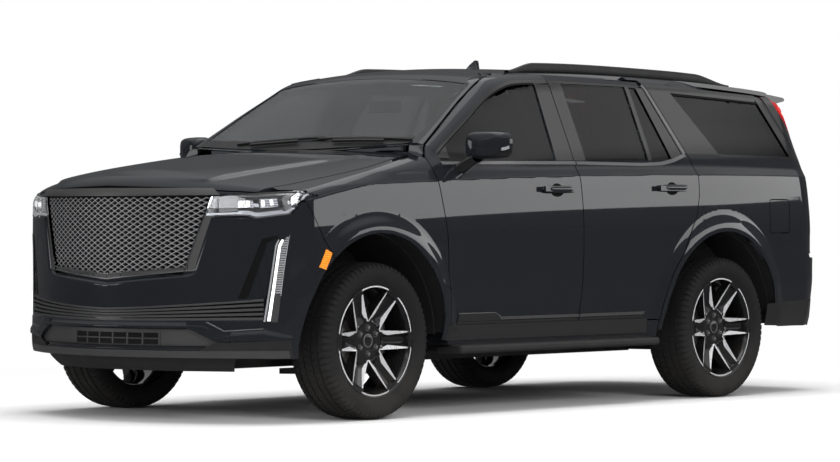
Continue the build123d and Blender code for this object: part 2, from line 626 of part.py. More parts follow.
def roof_rail():
    bar = top_slab(-1960, 164, 606, 640, -50, -26)
    feet = [top_slab(x, x + 90, 610, 636, -30, -SEAT_GAP, step=80) for x in (-1950, -1260, -560, 64)]
    rail = bar
    for foot in feet:
        rail += foot
    return rail


def shark_fin():
    fin = side_prism([(-344, 1880), (-330, 1952), (-290, 1972), (-232, 1968), (-140, 1918), (-110, 1880)],
                     y0=-22, y1=22)
    return fin - top_slab(-400, -60, -60, 60, -SEAT_GAP, 200)


tail_pane = tail_slab(720, 1400, 1790, 10, 15) & front_prism(TAIL_GLASS, radius=30)
node("tailgate", tailgate())
node("tailgate_glass", tail_pane)
node("fuel_door", fuel_flap())
node("roof_rails", both_sides(roof_rail()), shark_fin())
board = rounded_box(-730, 1040, 850, 1032, 326, 372, 16)
brackets = [box(x, x + 60, 470, 870, 330, 362) for x in (-600, 130, 860)]
for bracket in brackets:
    board += bracket
node("running_boards", both_sides(board))


# ---- floor, frame and running gear ----
def wheel_housing(axle, y0, y1):
    shell = wheel_cylinder(axle, y0, y1, ARCH_RADIUS + 14) - wheel_cylinder(axle, y0 - 5, y1 + 5, ARCH_RADIUS + 2)
    shell -= box(axle - 700, axle + 700, y0 - 5, y1 + 5, -400, AXLE_HEIGHT + 20)
    wall = wheel_cylinder(axle, y0 - 6, y0 + 6, ARCH_RADIUS + 14) - box(axle - 700, axle + 700, 0, 1000, -400, 800)
    return shell + wall


def floor_pan():
    """Cabin floor with its tunnels, the raised rear floor, firewall, cowl and wheel housings."""
    low = FLOOR_HEIGHT - FLOOR_SHEET
    pan = box(-1000, 1125, -655, 655, low, FLOOR_HEIGHT)
    pan += box(-790, 1000, -CABIN_FLOOR_EDGE + 0.3, CABIN_FLOOR_EDGE - 0.3, low, FLOOR_HEIGHT)
    pan += box(-1000, -985, -655, 655, low, REAR_FLOOR_HEIGHT)
    pan += box(-2480, -985, -655, 655, REAR_FLOOR_HEIGHT - FLOOR_SHEET, REAR_FLOOR_HEIGHT)
    pan += box(-2480, -2450, -655, 655, REAR_FLOOR_HEIGHT - 40, 790)
    pan += box(470, 1125, -205, 205, low, 622) - box(490, 1130, -190, 190, low, 607)
    pan -= box(490, 1130, -190, 190, low - 10, 607)
    pan += box(-1000, 490, -75, 75, low, 490)
    pan -= box(-1010, 500, -60, 60, low - 10, 475)
    pan += box(FIREWALL, FIREWALL + 20, -700, 700, 607, 1340) + box(FIREWALL, FIREWALL + 20, -655, -190, low, 660)
    pan += box(FIREWALL, FIREWALL + 20, 190, 655, low, 660) + box(FIREWALL, 1330, -700, 700, 1320, 1345)
    for housing in both_sides(wheel_housing(REAR_AXLE, 655, 930), wheel_housing(FRONT_AXLE, 500, 900)):
        pan += housing
    x, z = HOOD_HINGE
    for side in (1, -1):
        pan += box(x - 8, x + 8, side * 690, side * 726, 1330, 1345) + box(x - 8, x + 8, side * 716, side * 726, 1330, z + 5)
        pan += cylinder_between((x, side * 698, z), (x, side * 720, z), HOOD_PIN_RADIUS)
    return pan


FRAME_RAIL_Y = 430.0
RAIL_WIDTH = 80.0
MEMBER_TOP = 310.0


def chassis_frame():
    """Ladder frame: two rails that arch over the rear axle, cross members and body mounts."""
    frame = None
    for side in (1, -1):
        inner, outer = side * (FRAME_RAIL_Y - RAIL_WIDTH / 2), side * (FRAME_RAIL_Y + RAIL_WIDTH / 2)
        rail = box(-2380, -1640, inner, outer, 270, 400) + box(-1170, 2300, inner, outer, 270, 400)
        rail += box(-1700, -1640, inner, outer, 270, 490) + box(-1170, -1110, inner, outer, 270, 490)
        rail += box(-1700, -1110, inner, outer, 446, 490)
        frame = rail if frame is None else frame + rail
    for x in (-2380, -1740, -960, -300, 420, 1180, 2220):
        frame += box(x, x + 70, -FRAME_RAIL_Y, FRAME_RAIL_Y, 280, MEMBER_TOP)
    for x, top in ((-2250, REAR_FLOOR_HEIGHT), (-1750, REAR_FLOOR_HEIGHT), (-700, FLOOR_HEIGHT), (300, FLOOR_HEIGHT)):
        for side in (1, -1):
            frame += cylinder_between((x, side * FRAME_RAIL_Y, 390), (x, side * FRAME_RAIL_Y, top - FLOOR_SHEET - 0.3), 35)
    keep_out = wrap_slab(1500, -64, 64, 335, 1187, -100, 12 + SEAT_GAP, hood_height)
    for side in (1, -1):
        frame += box(2220, 2300, side * 425, side * 465, 390, 535)
        frame += box(2220, 2640, side * 425, side * 465, 495, 535) - keep_out
    return frame


LOWER_ARM_TOP = 262.0
UPPER_ARM_BASE = 624.0


RECEIVER_OUTSIDE = 63.5
RECEIVER_BORE = 51.4
RECEIVER_Z = 342.05
RECEIVER_PIN_RADIUS = 8.1
RECEIVER_PIN_X = -2570.0


def hitch_receiver():
    """Square trailer hitch tube on the rear cross member, with its cross hole for a pin."""
    x0, x1 = -2620.0, -2330.0
    half, hole = RECEIVER_OUTSIDE / 2, RECEIVER_BORE / 2
    tube = box(x0, x1, -half, half, RECEIVER_Z - half, RECEIVER_Z + half)
    tube -= box(x0 - 10, x1 - 15, -hole, hole, RECEIVER_Z - hole, RECEIVER_Z + hole)
    return tube - cylinder_between((RECEIVER_PIN_X, -60, RECEIVER_Z), (RECEIVER_PIN_X, 60, RECEIVER_Z), RECEIVER_PIN_RADIUS)


def front_arms():
    """Lower and upper arms, spring strut and cross tube of one front corner, all inboard of the wheel."""
    low = plan_prism([(FRONT_AXLE + 34, 770), (FRONT_AXLE + 190, 475), (FRONT_AXLE - 190, 475),
                      (FRONT_AXLE - 34, 770)], z0=232, z1=LOWER_ARM_TOP)
    high = plan_prism([(FRONT_AXLE + 26, 770), (FRONT_AXLE + 120, 500), (FRONT_AXLE - 120, 500),
                       (FRONT_AXLE - 26, 770)], z0=UPPER_ARM_BASE, z1=646)
    low += cylinder_between((FRONT_AXLE, KINGPIN_Y, 232), (FRONT_AXLE, KINGPIN_Y, LOWER_ARM_TOP), 17)
    high += cylinder_between((FRONT_AXLE, KINGPIN_Y, UPPER_ARM_BASE), (FRONT_AXLE, KINGPIN_Y, 646), 17)
    strut = cylinder_between((FRONT_AXLE, 590, 258), (FRONT_AXLE, 545, 760), 48)
    mount = box(FRONT_AXLE - 70, FRONT_AXLE + 70, 470, 600, 610, 740)
    return low + high + strut + mount + box(FRONT_AXLE - 60, FRONT_AXLE + 60, 470, 500, 240, 640)


def rear_drive():
    """Differential, half shafts, arms and fixed hub carriers with calipers of the rear axle."""
    gear = rounded_box(REAR_AXLE - 150, REAR_AXLE + 150, -140, 140, AXLE_HEIGHT - 110, AXLE_HEIGHT + 110, 40)
    drive = gear + wheel_cylinder(REAR_AXLE, -745, 745, 24)
    for side in (1, -1):
        carrier = box(REAR_AXLE - 60, REAR_AXLE + 60, side * 735, side * 790, 250, 560)
        carrier += wheel_cylinder(REAR_AXLE, side * 780, side * 800, 50)
        arm = plan_prism([(REAR_AXLE + 50, side * 760), (REAR_AXLE + 200, side * 160), (REAR_AXLE - 200, side * 160),
                          (REAR_AXLE - 50, side * 760)], z0=272, z1=300)
        link = plan_prism([(REAR_AXLE + 40, side * 760), (REAR_AXLE + 90, side * 200), (REAR_AXLE - 90, side * 200),
                           (REAR_AXLE - 40, side * 760)], z0=500, z1=522)
        bracket = box(REAR_AXLE - 90, REAR_AXLE + 90, side * 100, side * 220, 272, 522)
        seat_face = FRAME_RAIL_Y - RAIL_WIDTH / 2 - SEAT_GAP
        bracket += box(REAR_AXLE - 40, REAR_AXLE + 40, side * 210, side * seat_face, 455, 485)
        drive += carrier + arm + link + bracket + caliper(REAR_AXLE, side)
    return drive


DISC_RADIUS = 178.0
DISC_Y = 822.0


def caliper(axle, side):
    """Brake caliper astride the disc's rear edge, joined to the hub carrier."""
    inner, outer, bridge = 22.0, 20.0, 20.0
    x0, x1 = axle - DISC_RADIUS - 26, axle - 96
    body = box(x0, x1, side * (DISC_Y - 20 - inner), side * (DISC_Y - 20), 330, 500)
    body += box(x0, x1, side * (DISC_Y + 20), side * (DISC_Y + 20 + outer), 340, 490)
    body += box(x0 - 6, x0 + bridge - 6, side * (DISC_Y - 20 - inner), side * (DISC_Y + 20 + outer), 340, 490)
    body += box(x1 - 40, axle - 40, side * (DISC_Y - 20 - inner), side * (DISC_Y - 24), 380, 450)
    return body


def knuckle():
    """Left front steering knuckle: upright, spindle and caliper."""
    upright = box(FRONT_AXLE - 48, FRONT_AXLE + 48, 745, 792, 268, 616)
    studs = [cylinder_between((FRONT_AXLE, KINGPIN_Y, z), (FRONT_AXLE, KINGPIN_Y, z + 20), 12)
             for z in (LOWER_ARM_TOP + SEAT_GAP, UPPER_ARM_BASE - SEAT_GAP - 20)]
    spindle = wheel_cylinder(FRONT_AXLE, 780, 800, 52)
    return upright + studs[0] + studs[1] + spindle + caliper(FRONT_AXLE, 1)


def drivetrain():
    engine = box(1340, 1980, -260, 260, 400, 1060)
    gearbox = rounded_box(560, 1345, -170, 170, 350, 597, 30)
    front_shaft = cylinder_between((560, 150, 380), (1500, 150, 380), 32)
    rear_shaft = cylinder_between((REAR_AXLE + 150.3, 0, AXLE_HEIGHT), (570, 0, 400), 38)
    block = engine + gearbox + front_shaft + rear_shaft
    for side in (1, -1):
        block += box(1600, 1680, side * 250, side * (FRAME_RAIL_Y - RAIL_WIDTH / 2 - SEAT_GAP), 360, 440)
    return block


def exhaust():
    muffler = rounded_box(-2150, -1780, -330, 330, 250, 400, 50)
    pipe = cylinder_between((1000, -300, MEMBER_TOP + SEAT_GAP + 29), (-1800, -300, MEMBER_TOP + SEAT_GAP + 29), 29)
    tips = [cylinder_between((-2100, y, 355), (-2560, y, 355), 40) for y in (250, -250)]
    return muffler + pipe + tips[0] + tips[1]


node("floor_pan", floor_pan())
node("chassis_frame", chassis_frame())
node("hitch_receiver", hitch_receiver())
node("front_suspension", both_sides(front_arms()))
node("rear_suspension", rear_drive())
node("drivetrain", drivetrain())
node("exhaust", exhaust())
node("fuel_tank", rounded_box(-870, 100, 80, 370, MEMBER_TOP + SEAT_GAP, 416, 30))
node("radiator", box(2240, 2330, -420, 420, 480, 1100) + box(2245, 2280, -360, -300, MEMBER_TOP + SEAT_GAP, 490)
     + box(2245, 2280, 300, 360, MEMBER_TOP + SEAT_GAP, 490))
front_knuckle = knuckle()
node("knuckle_left", front_knuckle)
node("knuckle_right", mirrored(front_knuckle))


# ---- wheels ----
def rim(axle, track, side):
    """Alloy wheel: barrel, six pairs of spokes, hub and brake disc, turned about the axle."""
    inner_y, outer_y = track - RIM_WIDTH / 2, track + RIM_WIDTH / 2
    profile = [(inner_y, RIM_RADIUS), (outer_y, RIM_RADIUS + 8), (outer_y, RIM_RADIUS - 8), (outer_y - 60, RIM_RADIUS - 22),
               (inner_y, RIM_RADIUS - 22)]
    barrel = revolve(Face(Wire.make_polygon([Vector(0, y, r) for y, r in profile], close=True)), Axis.Y)
    hub = cylinder_between((0, DISC_Y + 8, 0), (0, track + 60, 0), 82)
    disc = cylinder_between((0, DISC_Y - 14, 0), (0, DISC_Y + 14, 0), DISC_RADIUS)
    stub = cylinder_between((0, 800 + SEAT_GAP, 0), (0, DISC_Y, 0), 50)
    wheel = barrel + hub + disc + stub
    for k in range(6):
        for lean in (-11, 11):
            spoke = box(-15, 15, track + 42, track + 78, 60, RIM_RADIUS - 12)
            wheel += Rot(0, 60 * k + lean, 0) * spoke
    wheel = Pos(axle, 0, AXLE_HEIGHT) * wheel
    return wheel if side > 0 else mirrored(wheel)


def tyre(axle, track, side):
    half = TYRE_WIDTH / 2
    bead = RIM_RADIUS + 0.3
    profile = [(-half + 26, bead), (-half + 4, bead + 34), (-half, bead + 62), (-half + 10, TYRE_RADIUS - 26),
               (-half + 40, TYRE_RADIUS - 4), (0, TYRE_RADIUS), (half - 40, TYRE_RADIUS - 4), (half - 10, TYRE_RADIUS - 26),
               (half, bead + 62), (half - 4, bead + 34), (half - 26, bead + 8.3)]
    ring = revolve(Face(Wire.make_polygon([Vector(0, track + y, r) for y, r in profile], close=True)), Axis.Y)
    ring = Pos(axle, 0, AXLE_HEIGHT) * ring
    return ring if side > 0 else mirrored(ring)


for place, axle, track in (("front", FRONT_AXLE, FRONT_HALF_TRACK), ("rear", REAR_AXLE, REAR_HALF_TRACK)):
    for hand, side in (("left", 1), ("right", -1)):
        node(f"rim_{place}_{hand}", rim(axle, track, side))
        node(f"tyre_{place}_{hand}", tyre(axle, track, side))


# ---- cabin ----
WHEEL_CENTRE = (660.0, 400.0, 1090.0)
COLUMN_TILT = 24.0


def column_point(along):
    """A point on the steering column, so far ahead of the wheel."""
    x, y, z = WHEEL_CENTRE
    return (x + along * cos(radians(COLUMN_TILT)), y, z - along * sin(radians(COLUMN_TILT)))


def steering_wheel():
    wheel = Torus(182, 15) + Cylinder(46, 40)
    for turn in (0, 90, 180):
        wheel += Rot(0, 0, turn) * Pos(110, 0, 0) * Box(150, 34, 16)
    wheel += Pos(0, 0, -68) * Cylinder(22, 2 * (119.7 - 68))
    return Pos(*WHEEL_CENTRE) * Rot(0, -90 + COLUMN_TILT, 0) * Rot(0, 0, 90) * wheel


def seat(x, y, width, floor=FLOOR_HEIGHT, cushion=200.0):
    """Seat on its base: cushion, leaning back and head restraint."""
    top = floor + cushion + 150
    solid = rounded_box(x - 260, x + 260, y - width / 2, y + width / 2, floor + cushion, top, 40)
    lean = Pos(x - 270, y, top + 250) * Rot(0, -14, 0)
    solid += lean * rounded_box(-55, 55, -width / 2, width / 2, -280, 260, 40)
    solid += Pos(x - 345, y, top + 572) * Rot(0, -14, 0) * rounded_box(-45, 45, -120, 120, -85, 85, 36)
    return solid + box(x - 180, x + 180, y - width / 2 + 80, y + width / 2 - 80, floor + 0.3, floor + cushion + 10)


def dashboard():
    front = FIREWALL - SEAT_GAP
    panel = side_prism([(front, 1300), (1040, 1296), (830, 1180), (800, 1080), (880, 900), (1000, 720), (front, 680)],
                       y0=-690, y1=690)
    return panel + cylinder_between(column_point(280), column_point(120), 38)


node("dashboard", dashboard())
node("seats", [seat(300, y, 540) for y in (400, -400)], [seat(-560, y, 540) for y in (400, -400)],
     seat(-1480, 0, 1040, REAR_FLOOR_HEIGHT, 60.0))
node("steering_wheel", steering_wheel())

os.makedirs("parts", exist_ok=True)
for name, shape in NODES.items():
    export_step(shape, f"parts/{name}.step")
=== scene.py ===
import json
import math
import bmesh
import bpy
import numpy as np
from mathutils import Matrix, Vector


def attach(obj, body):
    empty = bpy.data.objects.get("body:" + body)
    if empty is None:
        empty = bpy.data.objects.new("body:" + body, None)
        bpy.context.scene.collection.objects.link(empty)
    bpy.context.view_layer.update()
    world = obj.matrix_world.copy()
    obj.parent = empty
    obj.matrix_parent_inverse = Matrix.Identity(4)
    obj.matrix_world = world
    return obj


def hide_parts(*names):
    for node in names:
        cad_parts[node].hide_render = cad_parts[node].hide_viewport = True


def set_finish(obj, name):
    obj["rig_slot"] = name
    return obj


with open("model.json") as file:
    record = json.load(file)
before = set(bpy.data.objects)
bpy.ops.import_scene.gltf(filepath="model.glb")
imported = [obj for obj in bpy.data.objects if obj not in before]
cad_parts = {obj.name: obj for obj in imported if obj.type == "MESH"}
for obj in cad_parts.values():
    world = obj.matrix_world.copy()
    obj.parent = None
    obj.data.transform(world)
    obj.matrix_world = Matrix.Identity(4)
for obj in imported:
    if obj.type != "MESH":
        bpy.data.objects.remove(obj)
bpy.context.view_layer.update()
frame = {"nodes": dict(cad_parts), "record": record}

nodes = frame["nodes"]
bodyOfNode = {n: b for b, names in frame["record"]["behaviour"]["bodies"].items() for n in names}
slotOfNode = {p["node"]: p["material_slot"] for p in frame["record"]["subparts"]}
bpy.ops.object.select_all(action="DESELECT")
print("frame loaded")

# the body's outer skin, in millimetres, as it is in the part's source
car = {
    "length": 5382, "halfWidth": 1006, "frontAxle": 1676, "rearAxle": -1395, "axleHeight": 411,
   
    "frontTrack": 869, "rearTrack": 867, "noseBow": 0.415, "tailBow": 0.17, "screenBow": 0.15, "noseCorner": 90,
    "tailCorner": 240, "hoodEdge": 46, "roofEdge": 72, "flareRadius": 688, "flareDepth": 22, "flareWidth": 110,
    "reach": 2690,
}

def curve(*stations):
    # smooth curve through (position, value) stations
    stations = sorted(stations)
    at = np.array([p for p, v in stations], float)
    value = np.array([v for p, v in stations], float)
    step = np.diff(at)
    slope = np.diff(value) / step
    tangent = np.zeros(len(at))
    tangent[0], tangent[-1] = slope[0], slope[-1]
    for i in range(1, len(at) - 1):
        if slope[i - 1] * slope[i] > 0:
            w1, w2 = 2 * step[i] + step[i - 1], step[i] + 2 * step[i - 1]
            tangent[i] = (w1 + w2) / (w1 / slope[i - 1] + w2 / slope[i])

    def read(p):
        p = np.asarray(p, float)
        i = np.clip(np.searchsorted(at, p) - 1, 0, len(step) - 1)
        h = step[i]
        t = (p - at[i]) / h
        u = np.clip(t, 0, 1)
        mid = (2 * u**3 - 3 * u**2 + 1) * value[i] + (u**3 - 2 * u**2 + u) * h * tangent[i]
        mid = mid + (3 * u**2 - 2 * u**3) * value[i + 1] + (u**3 - u**2) * h * tangent[i + 1]
        return mid + np.where(t < 0, t * h * tangent[0], 0) + np.where(t > 1, (t - 1) * h * tangent[-1], 0)

    return read

sideSection = curve((200, -60), (450, -42), (560, -30), (690, -14), (730, -13), (880, -3), (1000, 0),
                    (1150, -4),
                    (1284, -14), (1300, -22), (1330, -38), (1384, -56), (1600, -144), (1834, -242),
                    (2100, -354))
hoodCentre = curve((2640, 1262), (2411, 1302), (2000, 1354), (1600, 1396), (1240, 1430))
hoodCrown = curve((2640, 200), (2411, 172), (2100, 145), (1676, 108), (1400, 70), (1200, 46))
cabinCentre = curve((1290, 1411), (720, 1782), (640, 1831), (580, 1856), (400, 1884), (100, 1904), (-400, 1912),
                    (-1200, 1903), (-1900, 1876), (-2500, 1836))
roofCrown = curve((900, 0), (400, 80), (-2500, 80))
noseFace = curve((240, -110), (335, -12), (400, 0), (600, -8), (760, -12), (1100, -14), (1180, -20),
                 (1260, -52))
tailFace = curve((350, 60), (450, 10), (600, 0), (800, 6), (850, 42), (1000, 48), (1300, 86), (1400, 110),
                 (1800, 268))

def ease(t):
    t = np.clip(t, 0, 1)
    return t * t * (3 - 2 * t)

def roundedMin(a, b, radius):
    return np.maximum(np.minimum(a, b), radius) - np.hypot(np.maximum(radius - a, 0), np.maximum(radius - b, 0))

def sideWidth(x, z):
    along = x + 21
    shift = -0.0217 * along - 6.5e-6 * along**2
    width = car["halfWidth"] + sideSection(z - shift * ease((z - 700) / 400))
    width = width - 34 * (np.maximum(x - 200, 0) / 1000) ** 2 * ease((z - 1290) / 120)
    width = width - 46 * (np.maximum(-1300 - x, 0) / 1200) ** 2
    for axle in (car["frontAxle"], car["rearAxle"]):
        away = np.hypot(x - axle, z - car["axleHeight"])
        width = width + car["flareDepth"] * ease((car["flareRadius"] - away) / car["flareWidth"]) * ease((z
                - 380) / 160)
    return width

def hoodTop(x, y):
    return hoodCentre(x) - hoodCrown(x) * (y / 1000) ** 2

def cabinTop(x, y):
    return cabinCentre(x + car["screenBow"] * y**2 / 1000) - roofCrown(x) * (y / 1000) ** 2

def along(y, *stations):
    # straight lines between (y, value) stations
    return np.interp(np.abs(y), [s[0] for s in stations], [s[1] for s in stations])

def insideBy(y, z, outline):
    # how far points lie inside a convex outline of (y, z) points listed clockwise from the upper inner corner
    best = np.full(np.shape(y), 1e9)
    for (y0, z0), (y1, z1) in zip(outline, outline[1:] + outline[:1]):
        size = math.hypot(y1 - y0, z1 - z0)
        best = np.minimum(best, ((z1 - z0) * (y - y0) - (y1 - y0) * (z - z0)) / size)
    return best

front = {
    "lamp": [(608, 1164), (958, 1189), (988, 1164), (954, 1070), (814, 1048), (583, 1058)],
    "lampDepth": 40, "scoopDepth": 12, "slatDepth": 12, "wingRise": 13, "grilleDepth": 20, "lowerDepth": 16,
    "domeRise": 15,
}

def relief(x, y, z):
    # what stands out from the plain skin at the front, and the hood's raised middle
    y = np.abs(y)
    ahead = ease((x - 2080) / 60)
    inner, drl = 740 + (z - 637) * 0.326, 853 + (z - 528) * 0.1155
    scoop = ease((y - inner) / 20) * ease((drl + 6 - y) / 10)
    scoop = scoop * ease((944 + (y - 840) * 0.29 - z) / 12) * ease((z - 634) / 8)
    slatTop, slatLow = 592 + 50 * (y / 855) ** 1.5, 521 + y / 85
    slats = ease((slatTop - z) / 6) * ease((z - slatLow) / 6) * ease((856 - y) / 8)
    chin = along(y, (0, 703), (596, 757), (694, 798), (760, 900))
    grilleEdge = 563 + (z - 833) * 0.31
    grille = ease((z - chin) / 32) * ease((grilleEdge + 8 - y) / 60) * ease((1166 - z) / 6)
    wingTop = along(y, (0, 521), (589, 523), (684, 473), (857, 487), (966, 456), (1100, 430))
    wingLow = along(y, (0, 484), (524, 486), (641, 424), (700, 419), (967, 430), (1100, 432))
    wing = ease((z - wingLow) / 7) * ease((wingTop - z) / 26) * ease((990 - y) / 50)
    lower = ease((wingLow - z) / 8) * ease((z - 374) / 6) * ease((600 - y) / 30)
    lamp = ease((insideBy(y, z, front["lamp"]) + 1) / 5)
    shape = front["wingRise"] * wing - front["scoopDepth"] * scoop - front["slatDepth"] * slats
    shape = shape - front["grilleDepth"] * grille - front["lowerDepth"] * lower - front["lampDepth"] * lamp
    dome = ease((588 + (2450 - x) * 0.085 - y) / 60) * ease((x - 1300) / 500) * ease((z - 1225) / 30)
    return shape * ahead + front["domeRise"] * dome * ease((2600 - x) / 150)

def skinDepth(p, top, shaped=False):
    # how far points (n, 3) lie inside the skin
    x, y, z = p[..., 0], p[..., 1], p[..., 2]
    side = sideWidth(x, z) - np.abs(y)
    nose = car["length"] / 2 + noseFace(z) - car["noseBow"] * y**2 / 1000 - x
    tail = x + car["length"] / 2 - tailFace(z) - car["tailBow"] * y**2 / 1000
    depth = roundedMin(roundedMin(side, nose, car["noseCorner"]), tail, car["tailCorner"] - 130
                       * ease((z - 1400) / 380))
    depth = roundedMin(depth, top(x, y) - z, car["hoodEdge"] if top is hoodTop else car["roofEdge"])
    return depth + relief(x, y, z) if shaped and top is hoodTop else depth

def skinSlope(p, top, shaped=False):
    slope = np.zeros_like(p)
    for k in range(3):
        step = np.zeros(3)
        step[k] = 1.5
        slope[..., k] = (skinDepth(p + step, top, shaped) - skinDepth(p - step, top, shaped)) / 3
    return slope

def skinNormal(p, top, shaped=False):
    # outward normals at points (n, 3)
    slope = skinSlope(p, top, shaped)
    return -slope / np.maximum(np.linalg.norm(slope, axis=-1, keepdims=True), 1e-9)

def layOn(points, top, inset=0.0, shaped=False, turns=10):
    # moves points onto the skin, or onto a layer inset below it
    p = np.array(points, float)
    for turn in range(turns):
        slope = skinSlope(p, top, shaped)
        gap = inset - skinDepth(p, top, shaped)
        move = slope * (gap / np.maximum((slope**2).sum(-1), 0.2))[..., None]
        length = np.linalg.norm(move, axis=-1, keepdims=True)
        p += move * np.minimum(1, 80 / np.maximum(length, 1e-9))
    p[..., 0] = np.clip(p[..., 0], -car["reach"], car["reach"])
    return p

def meet(start, stop, top, inset=0.0):
    # where straight lines from inside the skin to outside it cross the skin, or a layer inset below it
    low, high = np.array(start, float), np.array(stop, float)
    for turn in range(26):
        mid = (low + high) / 2
        deep = (skinDepth(mid, top) > inset)[..., None]
        low, high = np.where(deep, mid, low), np.where(deep, high, mid)
    mid = (low + high) / 2
    mid[..., 0] = np.clip(mid[..., 0], -car["reach"], car["reach"])
    return mid

def onSide(flat, top, inset=0.0):
    # places on the left side from (x, z) points
    x, z = np.asarray(flat, float).T
    return meet(np.stack([x, 0 * x, z], -1), np.stack([x, 0 * x + 1250, z], -1), top, inset)

def onTop(flat, top, inset=0.0):
    # places on the hood or roof from (x, y) points
    x, y = np.asarray(flat, float).T
    return meet(np.stack([x, y, 0 * x + 1000], -1), np.stack([x, y, 0 * x + 2100], -1), top, inset)

def link(obj):
    bpy.context.scene.collection.objects.link(obj)
    return obj

def settle(obj, finish, nodeOrBody, *replaced, smooth=40, slotName=None):
    # a finish, soft shading, the body it rides on and the CAD nodes it stands for
    if finish:
        obj.data.materials.clear()
        obj.data.materials.append(finishes[finish])
    if smooth:
        obj.data.shade_smooth()
        obj.data.set_sharp_from_angle(angle=math.radians(smooth))
    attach(obj, bodyOfNode.get(nodeOrBody, nodeOrBody))
    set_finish(obj, slotName or slotOfFinish.get(finish, finish))
    if replaced:
        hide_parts(*replaced)
    return obj

def makeActive(*pieces):
    bpy.ops.object.select_all(action="DESELECT")
    for piece in pieces:
        piece.select_set(True)
    bpy.context.view_layer.objects.active = pieces[0]

def apply(obj, kind, **values):
    # a modifier is added, set and applied
    modifier = obj.modifiers.new(kind.lower(), kind)
    for key, value in values.items():
        setattr(modifier, key, value)
    makeActive(obj)
    bpy.ops.object.modifier_apply(modifier=modifier.name)
    return obj

def renamed(name):
    obj = bpy.context.active_object
    obj.name = obj.data.name = name
    return obj

def grid(name, across, rows, place):
    # a primitive grid, with each point moved to where place(u, v) says in millimetres, u and v from 0 to 1
    bpy.ops.mesh.primitive_grid_add(x_subdivisions=across, y_subdivisions=rows, size=1, location=(0, 0, 0))
    obj = renamed(name)
    co = np.empty(len(obj.data.vertices) * 3)
    obj.data.vertices.foreach_get("co", co)
    co = co.reshape(-1, 3)
    points = place(np.clip(co[:, 0] + 0.5, 0, 1), np.clip(co[:, 1] + 0.5, 0, 1)) / 1000
    obj.data.vertices.foreach_set("co", points.ravel())
    obj.data.update()
    return obj

def faceOut(obj, towards):
    # turns an open sheet so that it faces the given way
    total = sum((p.normal * p.area for p in obj.data.polygons), Vector())
    if total.dot(Vector(towards)) < 0:
        obj.data.flip_normals()
    return obj

def merged(obj, distance=1e-5):
    makeActive(obj)
    bpy.ops.object.mode_set(mode="EDIT")
    bpy.ops.mesh.select_all(action="SELECT")
    bpy.ops.mesh.remove_doubles(threshold=distance)
    bpy.ops.mesh.normals_make_consistent(inside=False)
    bpy.ops.object.mode_set(mode="OBJECT")
    return obj

def joined(name, pieces):
    makeActive(*pieces)
    bpy.ops.object.join()
    return renamed(name)

def mirrored(obj, name, body):
    # the same piece on the right-hand side, with its own mesh
    twin = link(obj.copy())
    twin.parent = None
    twin.data = obj.data.copy()
    twin.name = twin.data.name = name
    twin.data.transform(Matrix.Scale(-1, 4, (0, 1, 0)))
    twin.data.flip_normals()
    for key in [k for k in twin.keys() if k.startswith("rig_") and k != "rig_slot"]:
        del twin[key]
    twin.matrix_world = Matrix.Identity(4)
    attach(twin, body)
    return twin

def pair(obj, finish, body, *replaced, **more):
    # a finished piece on the left and its copy on the right
    settle(obj, finish, body, *replaced, **more)
    return mirrored(obj, obj.name + "Right", body.replace("left", "right"))

def runAlong(stations, t):
    # points at even steps of length along a line of stations
    stations = np.array(stations, float)
    size = np.concatenate([[0], np.cumsum(np.linalg.norm(np.diff(stations, axis=0), axis=1))])
    return np.stack([np.interp(t * size[-1], size, stations[:, k]) for k in range(stations.shape[1])], -1)

def between(low, high, u, v):
    # points between two lines of stations
    return runAlong(low, u) * (1 - v)[:, None] + runAlong(high, u) * v[:, None]

def sheet(name, across, rows, place, facing, thick):
    # a moved grid that faces the given way and is thickened inwards, in millimetres
    return apply(faceOut(grid(name, across, rows, place), facing), "SOLIDIFY", thickness=thick / 1000,
                 offset=-1)

def sidePatch(name, low, high, inset, thick, across=60, rows=2, top=cabinTop):
    # a strip on the left side between two lines of (x, z) points
    def place(u, v):
        return onSide(between(low, high, u, v), top, inset)

    return sheet(name, across, rows, place, (0, 1, 0), thick)

def nosePatch(name, low, high, inset, thick, across=60, rows=2):
    # a strip on the nose between two lines of (y, z) points
    def place(u, v):
        y, z = between(low, high, u, v).T
        return meet(np.stack([0 * y + 2090, y, z], -1), np.stack([0 * y + 2800, y, z], -1), hoodTop, inset)

    return sheet(name, across, rows, place, (1, 0, 0), thick)

def skinStrip(name, low, high, across, rows):
    # a strip on the skin between two lines of places in space
    def place(u, v):
        return layOn(between(low, high, u, v), cabinTop, -1.2, turns=8)

    return sheet(name, across, rows, place, (0, 1, 1), 5)

